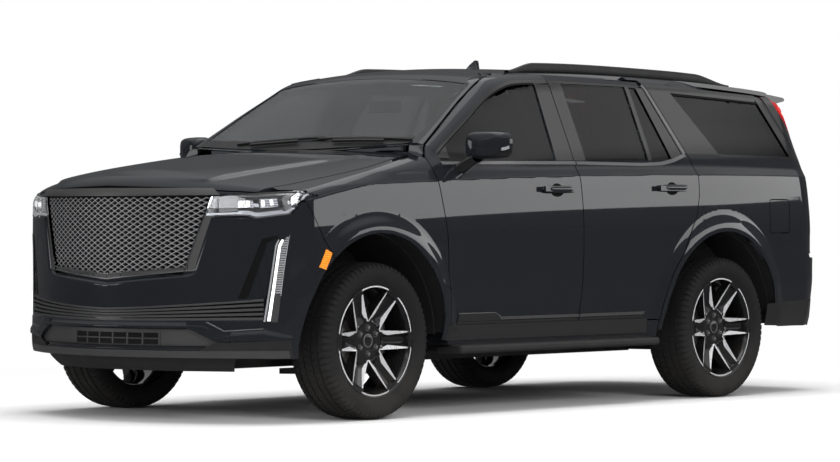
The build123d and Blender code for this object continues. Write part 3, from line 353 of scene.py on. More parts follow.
def layPanel(name, node, top, edge=0.05, inset=0.0, shaped=False):
    # a copy of the CAD panel, divided finely, laid on the exact skin and given the skin's own normals
    mesh = nodes[node].data.copy()
    bm = bmesh.new()
    bm.from_mesh(mesh)
    bmesh.ops.remove_doubles(bm, verts=bm.verts, dist=2e-5)
    for turn in range(9):
        spots = np.array([v.co[:] for v in bm.verts]) * 1000
        near = np.abs(skinDepth(spots, top) - inset) < 16
        bm.verts.index_update()
        longEdges = [e for e in bm.edges
                     if e.calc_length() > (edge if near[e.verts[0].index] and near[e.verts[1].index] else 0.25)]
        if not longEdges:
            break
        bmesh.ops.subdivide_edges(bm, edges=longEdges, cuts=1)
        bmesh.ops.triangulate(bm, faces=[f for f in bm.faces if len(f.verts) > 3])
    bm.normal_update()
    bm.to_mesh(mesh)
    bm.free()
    points = np.empty(len(mesh.vertices) * 3)
    mesh.vertices.foreach_get("co", points)
    points = points.reshape(-1, 3) * 1000
    corners = np.empty(len(mesh.loops), np.int32)
    mesh.loops.foreach_get("vertex_index", corners)
    corners = corners.reshape(-1, 3)
    faceNormals = np.cross(points[corners[:, 1]] - points[corners[:, 0]], points[corners[:, 2]]
                           - points[corners[:, 0]])
    faceNormals /= np.maximum(np.linalg.norm(faceNormals, axis=1, keepdims=True), 1e-9)
    slope = skinSlope(points, top)
    steep = np.maximum(np.linalg.norm(slope, axis=1), 0.3)
    normals = -slope / steep[:, None]
    away = np.abs(skinDepth(points, top) - inset) / steep
    facing = np.einsum("fcj,fj->fc", normals[corners], faceNormals)
    outer = (facing.min(1) > 0.8) & (away[corners].max(1) < 12)
    inner = facing.max(1) < -0.96
    move = np.unique(corners[outer])
    points[move] = layOn(points[move], top, inset, shaped)
    normals[move] = skinNormal(points[move], top, shaped)
    mesh.vertices.foreach_set("co", (points / 1000).ravel())
    loops = np.repeat(faceNormals[:, None, :], 3, 1)
    loops[outer] = normals[corners[outer]]
    loops[inner] = -normals[corners[inner]]
    mesh.polygons.foreach_set("use_smooth", [True] * len(mesh.polygons))
    mesh.update()
    mesh.normals_split_custom_set(loops.reshape(-1, 3).tolist())
    return link(bpy.data.objects.new(name, mesh))

# shared node groups
def newGroup(name, inputs, outputs):
    tree = bpy.data.node_groups.new(name, "ShaderNodeTree")
    for label, kind, value in inputs:
        socket = tree.interface.new_socket(name=label, in_out="INPUT", socket_type=kind)
        if value is not None:
            socket.default_value = value
    for label, kind in outputs:
        tree.interface.new_socket(name=label, in_out="OUTPUT", socket_type=kind)
    return tree, tree.nodes.new("NodeGroupInput"), tree.nodes.new("NodeGroupOutput")

def put(tree, kind, links=(), **values):
    # a node with its settings, and links (own socket, from socket)
    item = tree.nodes.new(kind)
    for key, value in values.items():
        if key.startswith("in_"):
            socket = key[3:].replace("_", " ")
            item.inputs[int(socket) if socket.isdigit() else socket].default_value = value
        else:
            setattr(item, key, value)
    for socket, source in links:
        tree.links.new(item.inputs[socket], source)
    return item

def objectPlace(tree):
    return put(tree, "ShaderNodeTexCoord").outputs["Object"]

def maths(tree, operation, first, second):
    # one sum of two sockets, or of a socket and a number
    item = put(tree, "ShaderNodeMath", [(0, first)], operation=operation)
    if isinstance(second, float):
        item.inputs[1].default_value = second
    else:
        tree.links.new(item.inputs[1], second)
    return item.outputs[0]

def mixShaders(tree, share, first, second):
    return put(tree, "ShaderNodeMixShader", [(0, share), (1, first), (2, second)]).outputs[0]

def makeFlakes():
    # metal flakes in lacquer: fine colour specks and a faint cloudiness
    tree, into, out = newGroup("flakes",
                               [("Color", "NodeSocketColor", (0, 0, 0, 1)), ("Sparkle", "NodeSocketFloat", 0.2),
                                ("Size", "NodeSocketFloat", 900.0)],
                               [("Color", "NodeSocketColor"), ("Roughness", "NodeSocketFloat")])
    place = objectPlace(tree)
    specks = put(tree, "ShaderNodeTexVoronoi", [("Vector", place), ("Scale", into.outputs["Size"])])
    strength = maths(tree, "MULTIPLY", specks.outputs["Distance"], into.outputs["Sparkle"])
    bright = put(tree, "ShaderNodeMix", [(0, strength), (6, into.outputs["Color"])], data_type="RGBA")
    bright.inputs[7].default_value = (0.2, 0.22, 0.26, 1)
    tree.links.new(out.inputs["Color"], bright.outputs[2])
    cloud = put(tree, "ShaderNodeTexNoise", [("Vector", place)], in_Scale=3.0, in_Detail=3.0)
    rough = put(tree, "ShaderNodeMapRange", [("Value", cloud.outputs["Fac"])], in_To_Min=0.26, in_To_Max=0.34)
    tree.links.new(out.inputs["Roughness"], rough.outputs[0])
    return tree

def makeGrain():
    # moulded or cast grain: height for a bump and a varied roughness
    tree, into, out = newGroup("grain",
                               [("Scale", "NodeSocketFloat", 900.0), ("Rough low", "NodeSocketFloat", 0.4),
                                ("Rough high", "NodeSocketFloat", 0.6)],
                               [("Height", "NodeSocketFloat"), ("Roughness", "NodeSocketFloat")])
    place = objectPlace(tree)
    cells = put(tree, "ShaderNodeTexVoronoi", [("Vector", place), ("Scale", into.outputs["Scale"])])
    tree.links.new(out.inputs["Height"], cells.outputs["Distance"])
    cloud = put(tree, "ShaderNodeTexNoise", [("Vector", place)], in_Scale=14.0, in_Detail=5.0)
    rough = put(tree, "ShaderNodeMapRange",
                [("Value", cloud.outputs["Fac"]), ("To Min", into.outputs["Rough low"]),
                 ("To Max", into.outputs["Rough high"])])
    tree.links.new(out.inputs["Roughness"], rough.outputs[0])
    return tree

def makeDust():
    # road dust that gathers low on the body: colour in, colour out
    tree, into, out = newGroup("dust",
                               [("Color", "NodeSocketColor", (0, 0, 0, 1)), ("Height", "NodeSocketFloat", 0.3),
                                ("Amount", "NodeSocketFloat", 0.15)], [("Color", "NodeSocketColor")])
    place = objectPlace(tree)
    split = put(tree, "ShaderNodeSeparateXYZ", [("Vector", place)])
    low = put(tree, "ShaderNodeMapRange", [("Value", split.outputs["Z"]), ("From Max", into.outputs["Height"])],
              in_To_Min=1.0, in_To_Max=0.0)
    noise = put(tree, "ShaderNodeTexNoise", [("Vector", place)], in_Scale=9.0, in_Detail=6.0)
    mask = maths(tree, "MULTIPLY", low.outputs[0], noise.outputs["Fac"])
    mask = maths(tree, "MULTIPLY", mask, into.outputs["Amount"])
    blend = put(tree, "ShaderNodeMix", [(0, mask), (6, into.outputs["Color"])], data_type="RGBA")
    blend.inputs[7].default_value = (0.16, 0.14, 0.12, 1)
    tree.links.new(out.inputs["Color"], blend.outputs[2])
    return tree

flakes, grain, dust = makeFlakes(), makeGrain(), makeDust()

def newMaterial(name, **sockets):
    material = bpy.data.materials.new(name)
    material.use_nodes = True
    tree = material.node_tree
    shader = tree.nodes["Principled BSDF"]
    for key, value in sockets.items():
        shader.inputs[key.replace("_", " ")].default_value = value
    return material, tree, shader

def useGroup(tree, group, **values):
    item = tree.nodes.new("ShaderNodeGroup")
    item.node_tree = group
    for key, value in values.items():
        item.inputs[key.replace("_", " ")].default_value = value
    return item

def grained(name, color, low, high, scale=900.0, strength=0.15, distance=0.0004, **sockets):
    material, tree, shader = newMaterial(name, **sockets)
    item = useGroup(tree, grain, Scale=scale, Rough_low=low, Rough_high=high)
    tree.links.new(shader.inputs["Roughness"], item.outputs["Roughness"])
    bump = put(tree, "ShaderNodeBump", [("Height", item.outputs["Height"])], in_Strength=strength,
               in_Distance=distance)
    tree.links.new(shader.inputs["Normal"], bump.outputs["Normal"])
    dirt = useGroup(tree, dust, Color=(*color, 1), Height=0.5, Amount=0.2)
    tree.links.new(shader.inputs["Base Color"], dirt.outputs["Color"])
    return material

def painted(name, color, sparkle):
    material, tree, shader = newMaterial(name, Metallic=0.0, IOR=1.1, Coat_Weight=1.0, Coat_Roughness=0.02,
                                           Coat_IOR=1.5)
    item = useGroup(tree, flakes, Color=(*color, 1), Sparkle=sparkle)
    dirt = useGroup(tree, dust, Height=0.55, Amount=0.10)
    tree.links.new(dirt.inputs["Color"], item.outputs["Color"])
    tree.links.new(shader.inputs["Base Color"], dirt.outputs["Color"])
    tree.links.new(shader.inputs["Roughness"], item.outputs["Roughness"])
    return material

def glassy(name, color, roughness=0.0, transmission=1.0, ior=1.45):
    material, tree, shader = newMaterial(name, Base_Color=(*color, 1), Transmission_Weight=transmission,
            IOR=ior,
                                         Metallic=0.0)
    smear = put(tree, "ShaderNodeTexNoise", in_Scale=5.0, in_Detail=4.0)
    tree.links.new(smear.inputs["Vector"], objectPlace(tree))
    rough = put(tree, "ShaderNodeMapRange", [("Value", smear.outputs["Fac"])], in_To_Min=roughness,
                in_To_Max=roughness + 0.006)
    tree.links.new(shader.inputs["Roughness"], rough.outputs[0])
    clear = put(tree, "ShaderNodeBsdfTransparent", in_Color=(*color, 1))
    rays = put(tree, "ShaderNodeLightPath")
    lit = maths(tree, "MAXIMUM", rays.outputs["Is Shadow Ray"], rays.outputs["Is Diffuse Ray"])
    mix = mixShaders(tree, lit, shader.outputs[0], clear.outputs[0])
    tree.links.new(tree.nodes["Material Output"].inputs["Surface"], mix)
    return material

def glowing(name, color, strength, base=(0.8, 0.8, 0.8, 1)):
    # a lit lens: fine ribs vary how bright it is
    material, tree, shader = newMaterial(name, Base_Color=base, Roughness=0.2, Emission_Strength=strength)
    ribs = put(tree, "ShaderNodeTexWave", in_Scale=22.0, bands_direction="Z")
    tree.links.new(ribs.inputs["Vector"], objectPlace(tree))
    blend = put(tree, "ShaderNodeMix", [(0, ribs.outputs["Fac"])], data_type="RGBA")
    blend.inputs[6].default_value = (*[c * 0.85 for c in color], 1)
    blend.inputs[7].default_value = (*color, 1)
    tree.links.new(shader.inputs["Emission Color"], blend.outputs[2])
    return material

def ribbed(name, dark, bright, scale, metallic):
    # a lens or reflector with moulded ribs
    material, tree, shader = newMaterial(name, Roughness=0.15, Metallic=metallic, Coat_Weight=1.0)
    ribs = put(tree, "ShaderNodeTexWave", in_Scale=scale, bands_direction="Z")
    tree.links.new(ribs.inputs["Vector"], objectPlace(tree))
    blend = put(tree, "ShaderNodeMix", [(0, ribs.outputs["Fac"])], data_type="RGBA")
    blend.inputs[6].default_value = (*dark, 1)
    blend.inputs[7].default_value = (*bright, 1)
    tree.links.new(shader.inputs["Base Color"], blend.outputs[2])
    bump = put(tree, "ShaderNodeBump", [("Height", ribs.outputs["Fac"])], in_Strength=0.6, in_Distance=0.003)
    tree.links.new(shader.inputs["Normal"], bump.outputs["Normal"])
    return material

finishes = {
    "paint": painted("charcoalPaint", (0.0068, 0.0076, 0.0098), 0.02),
    "gloss_black": grained("glossBlack", (0.004, 0.004, 0.0045), 0.06, 0.12, strength=0.02, Coat_Weight=1.0,
                           Coat_Roughness=0.02),
    "black_plastic": grained("blackPlastic", (0.012, 0.012, 0.0125), 0.42, 0.6),
    "tinted_glass": glassy("tintedGlass", (0.05, 0.053, 0.058)),
    "screen_glass": glassy("screenGlass", (0.34, 0.37, 0.38)),
    "lamp_glass": glassy("lampGlass", (0.97, 0.98, 1.0)),
    "red_lamp": glassy("redLamp", (0.42, 0.008, 0.008), 0.03, 0.15),
    "underbody": grained("underbodyCoat", (0.012, 0.012, 0.012), 0.6, 0.85, scale=300, strength=0.3,
                         distance=0.001),
    "frame_steel": grained("frameSteel", (0.01, 0.01, 0.0105), 0.4, 0.6),
    "cast_alloy": grained("castAlloy", (0.25, 0.25, 0.26), 0.4, 0.6, Metallic=1.0),
    "bare_steel": grained("bareSteel", (0.38, 0.36, 0.34), 0.3, 0.5, Metallic=1.0),
    "wheel_alloy": grained("wheelBlack", (0.005, 0.005, 0.0055), 0.08, 0.16, strength=0.03, Coat_Weight=1.0,
                           Coat_Roughness=0.03),
    "tyre": grained("tyreRubber", (0.011, 0.011, 0.0115), 0.6, 0.8, scale=700, strength=0.2,
                    Specular_IOR_Level=0.22),
    "soft_plastic": grained("softPlastic", (0.015, 0.015, 0.016), 0.5, 0.7, scale=500, strength=0.25),
    "leather": grained("leather", (0.028, 0.026, 0.025), 0.38, 0.55, scale=260, strength=0.35, distance=0.0008),
    "machined": grained("machinedFace", (0.86, 0.86, 0.88), 0.2, 0.32, scale=1500, strength=0.05,
                        Metallic=0.55),
    "chrome": grained("chrome", (0.8, 0.8, 0.82), 0.05, 0.12, strength=0.02, Metallic=1.0),
    "dark_chrome": grained("darkChrome", (0.19, 0.19, 0.195), 0.14, 0.24, strength=0.02, Metallic=0.6),
    "satin": grained("darkSatin", (0.085, 0.084, 0.083), 0.3, 0.42, strength=0.05, Metallic=0.5),
    "lattice": grained("latticeEdge", (0.36, 0.36, 0.37), 0.34, 0.46, strength=0.03, Metallic=0.5),
    "silver": grained("lampSilver", (0.34, 0.345, 0.36), 0.2, 0.3, strength=0.03, Metallic=0.4),
    "slate": grained("slatePlastic", (0.035, 0.035, 0.036), 0.3, 0.42),
    "white_light": glowing("whiteLight", (1.0, 0.99, 0.97), 1.3),
    "red_light": glowing("redLight", (0.75, 0.05, 0.045), 0.5, (0.5, 0.02, 0.02, 1)),
    "amber": ribbed("amberLens", (0.8, 0.16, 0.005), (1.0, 0.36, 0.03), 30, 0.0),
    "ribbed_lens": ribbed("ribbedLens", (0.16, 0.16, 0.17), (0.75, 0.75, 0.78), 26, 0.8),
    "void": grained("deepBlack", (0.002, 0.002, 0.002), 0.7, 0.9),
}
slotOfFinish = {"machined": "wheel_alloy", "chrome": "wheel_alloy", "dark_chrome": "gloss_black",
                "satin": "gloss_black", "slate": "black_plastic", "lattice": "gloss_black",
                "silver": "lamp_glass",
                "white_light": "lamp_glass", "red_light": "red_lamp", "amber": "red_lamp",
                "ribbed_lens": "lamp_glass", "void": "black_plastic"}
for name, obj in nodes.items():
    obj.data.materials.clear()
    obj.data.materials.append(finishes[slotOfNode[name]])
print("materials made")

# body panels and glass
panels = [("hoodPanel", "hood", hoodTop, 0.022), ("frontBumperShell", "front_bumper", hoodTop, 0.0095),
          ("frontFenders", "front_fenders", hoodTop, 0.014)]
panels += [(f"{place}Door{hand.title()}", f"door_{place}_{hand}", cabinTop, 0.018)
           for place in ("front", "rear") for hand in ("left", "right")]
panels += [("quarterPanels", "quarter_panels", cabinTop, 0.016), ("roofPanel", "roof_panel", cabinTop, 0.035),
           ("rearBumperShell", "rear_bumper", cabinTop, 0.022), ("tailgatePanel", "tailgate", cabinTop, 0.03),
           ("fuelDoorPanel", "fuel_door", cabinTop, 0.02)]
for name, node, top, edge in panels:
    piece = layPanel(name, node, top, edge, shaped=True)
    settle(piece, "paint", node, node, smooth=0)
panes = [(f"{place}Glass{hand.title()}", f"glass_{place}_{hand}", 8) for place in ("front", "rear")
         for hand in ("left", "right")]
panes += [("quarterGlass", "quarter_windows", 8), ("tailgateGlass", "tailgate_glass", 10),
          ("screenGlass", "windscreen", 3)]
for name, node, inset in panes:
    piece = layPanel(name, node, cabinTop, 0.028, inset)
    settle(piece, slotOfNode[node], node, node, smooth=0)
print("panels laid on the skin")

# wheels: the front left one is modelled, the others are copies of it
wheel = {
    "lip": 284, "lipFace": 112, "hubFace": 57, "vTip": 103, "windowHalf": 21, "ridge": 5, "facetWide": 19,
    "facetDeep": 9, "valley": 36, "lugCircle": 69.85, "treads": 72, "grooves": (-73, -27, 27, 73),
}
tyreProfile = [(112, 291), (118, 300), (128, 310), (134, 326), (137.2, 345), (136.8, 362), (134, 378),
               (129, 391),
               (120, 400.5), (106, 405.6), (96, 407.2), (84, 408.6), (78.5, 409), (77.5, 409.1), (68.5, 409.6),
               (67.5, 409.7), (50, 410.2), (32.5, 410.5), (31.5, 410.5), (22.5, 410.6), (21.5, 410.6),
               (0, 410.7)]
tyreProfile += [(-w, r) for w, r in tyreProfile[-2::-1]]
brakeProfile = [(-6, 178), (22, 178), (22, 104), (30, 98), (30, 30), (-6, 30), (-6, 178)]

def atWheel(width, radius, angle):
    # a place in the front left wheel, from its width, radius and angle, in millimetres
    return np.stack([car["frontAxle"] + radius * np.sin(angle), car["frontTrack"] + width + 0 * angle,
                     car["axleHeight"] + radius * np.cos(angle)], -1)

def faceAt(radius):
    return wheel["hubFace"] + (wheel["lipFace"] - wheel["hubFace"]) * np.clip((radius - 78) / 206, 0, 1) ** 1.25

def makeTyre():
    steps = np.array([0, 0.19, 0.26, 0.6, 0.93])
    columns = np.concatenate([(k + steps) for k in range(wheel["treads"])] + [[wheel["treads"]]])
    count, rings = len(columns) - 1, len(tyreProfile) - 1
    profile = np.array(tyreProfile)

    def place(u, v):
        column, ring = np.rint(u * count).astype(int), np.rint(v * rings).astype(int)
        turn, (w, r) = columns[column], profile[ring].T
        slot = np.where(turn % 1 < 0.22, 1.0, 0.0)
        groove = sum(np.where(np.abs(w - g) < 5, 1.0, 0.0) for g in wheel["grooves"])
        shoulder = ease((np.abs(w) - 77) / 6) * ease((r - 374) / 10)
        depth = np.maximum(groove * 7.5, slot * (5.5 * shoulder + 3.5 * (np.abs(w) < 77)))
        skew = 0.35 * np.sin(w / 24) + np.where(np.abs(w) > 77, 0.4, 0)
        angle = (turn + skew) * 2 * math.pi / wheel["treads"]
        return atWheel(w - np.sign(w) * shoulder * slot * 2.4, r - depth, angle)

    return merged(grid("tyreFrontLeft", count, rings, place), 2e-5)

def makeBarrel():
    # the rim's barrel and flanges, turned round the axle
    profile = [(112, 284), (116.5, 287), (118, 292), (116, 297.5), (110, 297), (104, 290), (98, 284.5),
               (70, 282),
               (-70, 284), (-104, 292), (-112, 297.5), (-116, 297), (-116, 290), (-104, 281), (-60, 270),
               (40, 262),
               (84, 268), (104, 277), (112, 284)]
    return merged(grid("rimBarrel", 96, 36, lambda u, v: atWheel(*runAlong(profile, v).T, u * 2 * math.pi)),
                  2e-5)

def edgeOfWindow(t):
    # the straight side of one window between two spokes, in the wheel's plane: across and radial places
    half = math.radians(wheel["windowHalf"])
    return (wheel["lip"] * math.sin(half) * t, wheel["vTip"] + (wheel["lip"] * math.cos(half) - wheel["vTip"])
            * t)

def spokePoint(across, radial, width, turn):
    radius, angle = np.hypot(across, radial), np.arctan2(across, radial) + turn
    return atWheel(width, radius, angle)

def makeSpokes():
    black, silver = [], []
    half = math.radians(wheel["windowHalf"])
    for k in range(6):
        for hand in (-1, 1):
            turn = math.radians(60 * k)

            def facet(u, v, hand=hand, turn=turn):
                # the machined face beside a window, widest a third of the way out
                across, radial = edgeOfWindow(u)
                swell = np.interp(u, [0, 0.3, 0.5, 1], [0.15, 1, 0.7, 0])
                out = (wheel["ridge"] + wheel["facetWide"] * swell) * v
                width = faceAt(np.hypot(across, radial)) - wheel["facetDeep"] * swell * v**1.5 + 0.8
                return spokePoint(hand * (across + out * 0.92), radial - out * 0.39, width, turn)

            silver.append(grid("facet", 20, 4, facet))

            def flank(u, v, hand=hand, turn=turn):
                # the black half of a spoke, from the ridge into the valley between two spokes
                across, radial = edgeOfWindow(u)
                edge = np.arctan2(across + wheel["ridge"], radial)
                radius = np.hypot(across + wheel["ridge"], radial)
                angle = edge + (math.pi / 6 - edge) * v
                deep = wheel["valley"] * ease(v * 1.3) * ease(u * 4) * (1 - 0.35 * u)
                return atWheel(faceAt(radius) - deep, radius, hand * angle + turn)

            black.append(grid("flank", 14, 6, flank))

            def wall(u, v, hand=hand, turn=turn):
                # below the facet, the spoke's side goes down to its back
                across, radial = edgeOfWindow(u)
                swell = np.sin(math.pi * u**0.8) ** 0.9
                top = faceAt(np.hypot(across, radial))
                return spokePoint(hand * (across + (4 - 12 * swell) * v), radial, top - 58 * v, turn)

            black.append(grid("spokeWall", 14, 3, wall))

        def arc(u, v, turn=math.radians(60 * k)):
            return atWheel(wheel["lipFace"] + 1.5 + 0 * u, 280.5 + 8 * v, turn + (2 * u - 1) * half)

        silver.append(grid("lipArc", 16, 1, arc))

        def lip(u, v, turn=math.radians(60 * k + 30)):
            return atWheel(wheel["lipFace"] - 0.5 + 0 * u, 262 + 26 * v, turn + (2 * u - 1) * math.radians(9.6))

        black.append(grid("lipLand", 10, 2, lip))
    for piece in black + silver:
        faceOut(piece, (0, 1, 0))
    return joined("spokeFaces", silver), joined("spokes", black)

def lathe(name, profile, center=None, steps=48):
    # turned parts on the wheel's axle, or on an axis beside it
    def place(u, v):
        w, r = runAlong(profile, v).T
        points = atWheel(w, r, u * 2 * math.pi)
        return points + np.array([0, 0, 0] if center is None else [center[0], 0, center[1]])

    return merged(grid(name, steps, 4 * (len(profile) - 1), place), 2e-5)

def makeHub():
    hub = lathe("hub", [(-20, 96), (48, 106), (59.5, 103), (59, 88), (57.5, 60), (56, 40), (56, 0.02)],
                steps=60)
    ring = lathe("capRing", [(55, 36), (62, 36), (63.5, 34), (63.5, 30), (60, 29), (55, 29)])
    cap = lathe("hubCap", [(55, 29.5), (61, 29), (62.5, 24), (63.2, 12), (63.4, 0.02)])
    lugs = []
    for k in range(6):
        angle = math.radians(60 * k)
        center = (wheel["lugCircle"] * math.sin(angle), wheel["lugCircle"] * math.cos(angle))
        lugs.append(lathe("lug", [(50, 11), (66, 10.6), (70, 9), (71.5, 5), (71.8, 0.02)], center, steps=6))
        lugs.append(lathe("lugSeat", [(58.5, 17), (59.2, 15.5), (56, 13), (52, 12)], center, steps=20))
    return joined("hubCentre", [hub, cap]), joined("lugNuts", lugs), ring

def placed(obj, name, body, shift, right):
    # a copy for another wheel
    twin = link(obj.copy())
    twin.data = obj.data.copy()
    twin.name = twin.data.name = name
    twin.data.transform(Matrix.Translation(shift))
    if right:
        twin.data.transform(Matrix.Scale(-1, 4, (0, 1, 0)))
        twin.data.flip_normals()
    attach(twin, body)
    return twin

def makeWheels():
    faces, spokes = makeSpokes()
    center, lugs, ring = makeHub()
    parts = [(makeTyre(), "tyre", 50), (makeBarrel(), "wheel_alloy", 40), (faces, "machined", 35),
             (spokes, "wheel_alloy", 35), (center, "wheel_alloy", 40), (lugs, "dark_chrome", 30),
             (ring, "dark_chrome", 30), (lathe("brakeDisc", brakeProfile, steps=72), "bare_steel", 30)]
    for obj, finish, smooth in parts:
        obj.data.materials.append(finishes[finish])
        obj.data.shade_smooth()
        obj.data.set_sharp_from_angle(angle=math.radians(smooth))
        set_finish(obj, slotOfFinish.get(finish, finish))
    backX, backY = (car["rearAxle"] - car["frontAxle"]) / 1000, (car["rearTrack"] - car["frontTrack"]) / 1000
    spots = [("rear", "right", (backX, backY, 0)), ("rear", "left", (backX, backY, 0)),
             ("front", "right", (0, 0, 0)), ("front", "left", None)]
    for place, hand, shift in spots:
        for obj, finish, smooth in parts:
            body, piece = f"{place}_{hand}_wheel", obj
            if shift:
                piece = placed(obj, f"{obj.name}{place.title()}{hand.title()}", body, shift, hand == "right")
            else:
                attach(obj, body)
            if finish == "tyre":
                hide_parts(f"tyre_{place}_{hand}", f"rim_{place}_{hand}")

makeWheels()
print("wheels made")

# grille
grille = {"top": 1160, "topHalf": 612, "lowHalf": 482, "cellWide": 50, "cellHigh": 27.5, "front": 20,
          "deep": 18}

def grilleLow(y):
    return 763 + 34 * np.abs(y) / 490

def noseX(y, z):
    return car["length"] / 2 + noseFace(z) - car["noseBow"] * y**2 / 1000

def grilleEdge(z):
    return grille["lowHalf"] + (grille["topHalf"] - grille["lowHalf"]) * (z - 797) / (grille["top"] - 797)

def makeLattice():
    wires = []
    rise = grille["cellHigh"] / grille["cellWide"]
    t = np.linspace(-640, 640, 1281)
    for hand in (-1, 1):
        for k in range(-13, 40):
            z = 763 + grille["cellHigh"] * (k - 13) + hand * rise * t + 640 * rise
            inside = (z < grille["top"] - 2) & (z > grilleLow(t) + 2) & (np.abs(t) < grilleEdge(z) - 2)
            if inside.sum() < 30:
                continue
            start, stop = t[inside][0], t[inside][-1]
            base = z[inside][0]

            def place(u, v, start=start, stop=stop, base=base, hand=hand):
                y = start + (stop - start) * u
                z = base + hand * rise * (y - start)
                corner = np.rint(v * 4).astype(int) % 4
                x = noseX(y, z) - grille["front"] - np.array([0, grille["deep"], grille["deep"], 0])[corner]
                lift = np.array([1.7, 3.0, -3.0, -1.7])[corner]
                return np.stack([x, y - hand * lift * 0.45, z + lift], -1)

            wires.append(merged(grid("wire", max(int((stop - start) / 25), 2), 4, place), 1e-6))
    lattice = joined("grilleLattice", wires)
    lattice.data.materials.append(finishes["satin"])
    lattice.data.materials.append(finishes["lattice"])
    for face in lattice.data.polygons:
        x, y, z = face.center * 1000
        face.material_index = 1 if x > noseX(y, z) - grille["front"] - 1.5 else 0
    return settle(lattice, None, "root", slotName="gloss_black", smooth=0)

grilleSides = [
    ("grilleSide", [(482, 797), (612, 1160)], [(556, 787), (622, 1024), (622, 1056)], "satin", 12),
    ("grilleSideEdge", [(554, 786), (620, 1024), (620, 1052)], [(560, 786), (626, 1024), (626, 1052)],
     "dark_chrome", 8),
    ("grilleInnerEdge", [(479, 797), (609, 1160)], [(484, 797), (614, 1160)], "chrome", 7),
]
grilleBands = [
    # name, half width and the edge's and middle's heights of both lines, finish, inset and thickness
    ("grilleFoot", (556, 787, 737), (484, 797, 763), "satin", 12, 4),
    ("grilleFootEdge", (556, 785, 734), (556, 790, 740), "dark_chrome", 8, 4),
    ("grilleInnerFoot", (482, 795, 761), (482, 800, 766), "chrome", 6, 4),
    ("grilleHeader", (612, 1158, 1158), (618, 1170, 1170), "gloss_black", 16, 4),
    ("trimBar", (655, 1171, 1167), (612, 1204, 1206), "satin", -6, 8),
    ("trimBarEdge", (655, 1169, 1165), (655, 1173, 1170), "satin", -8, 8),
    ("hoodGap", (640, 1180, 1180), (600, 1214, 1216), "void", 14, 4),
]

def arrow(half, edge, middle):
    # a line across the nose, straight from each end to its middle
    return [(-half, edge), (0, middle), (half, edge)]

def makeGrille():
    back = nosePatch("grilleBack", arrow(600, 745, 745), arrow(640, 1175, 1175), 50, 3)
    settle(back, "void", "root", "grille", slotName="gloss_black")
    makeLattice()
    for name, low, high, finish, inset in grilleSides:
        pair(nosePatch(name, low, high, inset, 5, 30, 3), finish, "root", slotName="gloss_black")
    for name, low, high, finish, inset, thick in grilleBands:
        piece = nosePatch(name, arrow(*low), arrow(*high), inset, thick, 80, 3)
        settle(piece, finish, "root", slotName="gloss_black")
    for hand in (-1, 1):
        lines = [(hand * 470, 740), (hand * 600, 1172)], [(hand * 486, 797), (hand * 616, 1160)]
        settle(nosePatch("grilleWall", *lines, 30, 3, 20, 2), "void", "root", slotName="gloss_black")

makeGrille()
print("grille made")

# lamps
lamps = {
    "lensLow": [(583, 1058), (776, 1064), (814, 1048), (954, 1070), (985, 1158)],
    "lensHigh": [(608, 1165), (800, 1178), (958, 1190), (986, 1166)],
    "dayInner": [(853, 524), (900, 935), (948, 971)], "dayOuter": [(912, 522), (930, 760), (953, 969)],
}
# shares of the lens from its low line to its high one, inset, finish, and where the piece starts and stops
lampRows = [(0.06, 0.16, 8, "silver", 0.0, 0.86), (0.0, 0.03, -3, "dark_chrome", 0.0, 0.86),
            (0.95, 1.0, -3, "gloss_black", 0.0, 0.98), (0.84, 0.95, 14, "satin", 0.0, 0.8),
            (0.2, 0.8, 22, "satin", 0.01, 0.3), (0.36, 0.7, 15, "ribbed_lens", 0.32, 0.49),
            (0.44, 0.64, 9, "white_light", 0.345, 0.375), (0.44, 0.64, 9, "white_light", 0.43, 0.46),
            (0.44, 0.58, 12, "silver", 0.50, 0.555), (0.38, 0.74, 15, "ribbed_lens", 0.56, 0.745),
            (0.46, 0.68, 9, "white_light", 0.59, 0.62), (0.46, 0.68, 9, "white_light", 0.68, 0.71),
            (0.16, 0.22, 12, "silver", 0.32, 0.76), (0.1, 0.92, 12, "satin", 0.77, 0.83),
            (0.3, 0.9, 12, "ribbed_lens", 0.86, 0.92), (0.1, 0.95, 5, "silver", 0.95, 0.975)]
dayRows = [("dayBezel", 0.0, 0.14, -5, "silver", 0, 0.9), ("dayGroove", 0.14, 0.24, 0, "dark_chrome", 0, 0.9),
           ("dayLight", 0.26, 0.48, -5, "white_light", 0.01, 0.92),
           ("dayLens", 0.5, 0.94, -3, "ribbed_lens", 0.32, 0.97), ("dayFoot", 0.5, 0.94, -2, "slate", 0.0,
               0.315),
           ("dayRim", 0.94, 1.0, -5, "silver", 0.3, 1.0), ("dayBack", 0.0, 1.0, 3, "void", 0.0, 1.0)]

def partLine(low, high, share, start, stop):
    # part of the line that lies a share of the way between two others
    t = np.linspace(0, 1, 25)
    mid = runAlong(low, t) * (1 - share) + runAlong(high, t) * share
    return runAlong(mid, np.linspace(start, stop, 13))

def makeHeadlamp():
    low, high = lamps["lensLow"], lamps["lensHigh"]
    pair(nosePatch("lampLens", low, high, -1, 2.5, 60, 6), "lamp_glass", "root", "front_lamps")
    pair(nosePatch("lampHousing", low, high, 37, 2, 60, 6), "void", "root", slotName="lamp_glass")
    for i, (lowShare, highShare, inset, finish, start, stop) in enumerate(lampRows):
        lines = [partLine(low, high, share, start, stop) for share in (lowShare, highShare)]
        pair(nosePatch(f"lampPart{i}", *lines, inset, 3, 24, 3), finish, "root", slotName="lamp_glass")

def makeDayLamp():
    # tall slanted lamp: bezel, light line, ribbed lens and a dark foot
    for name, lowShare, highShare, inset, finish, start, stop in dayRows:
        lines = [partLine(lamps["dayInner"], lamps["dayOuter"], share, start, stop)
                 for share in (lowShare, highShare)]
        pair(nosePatch(name, *lines, inset, 4, 50, 2), finish, "root", slotName="lamp_glass")

makeHeadlamp()
makeDayLamp()
print("lamps made")

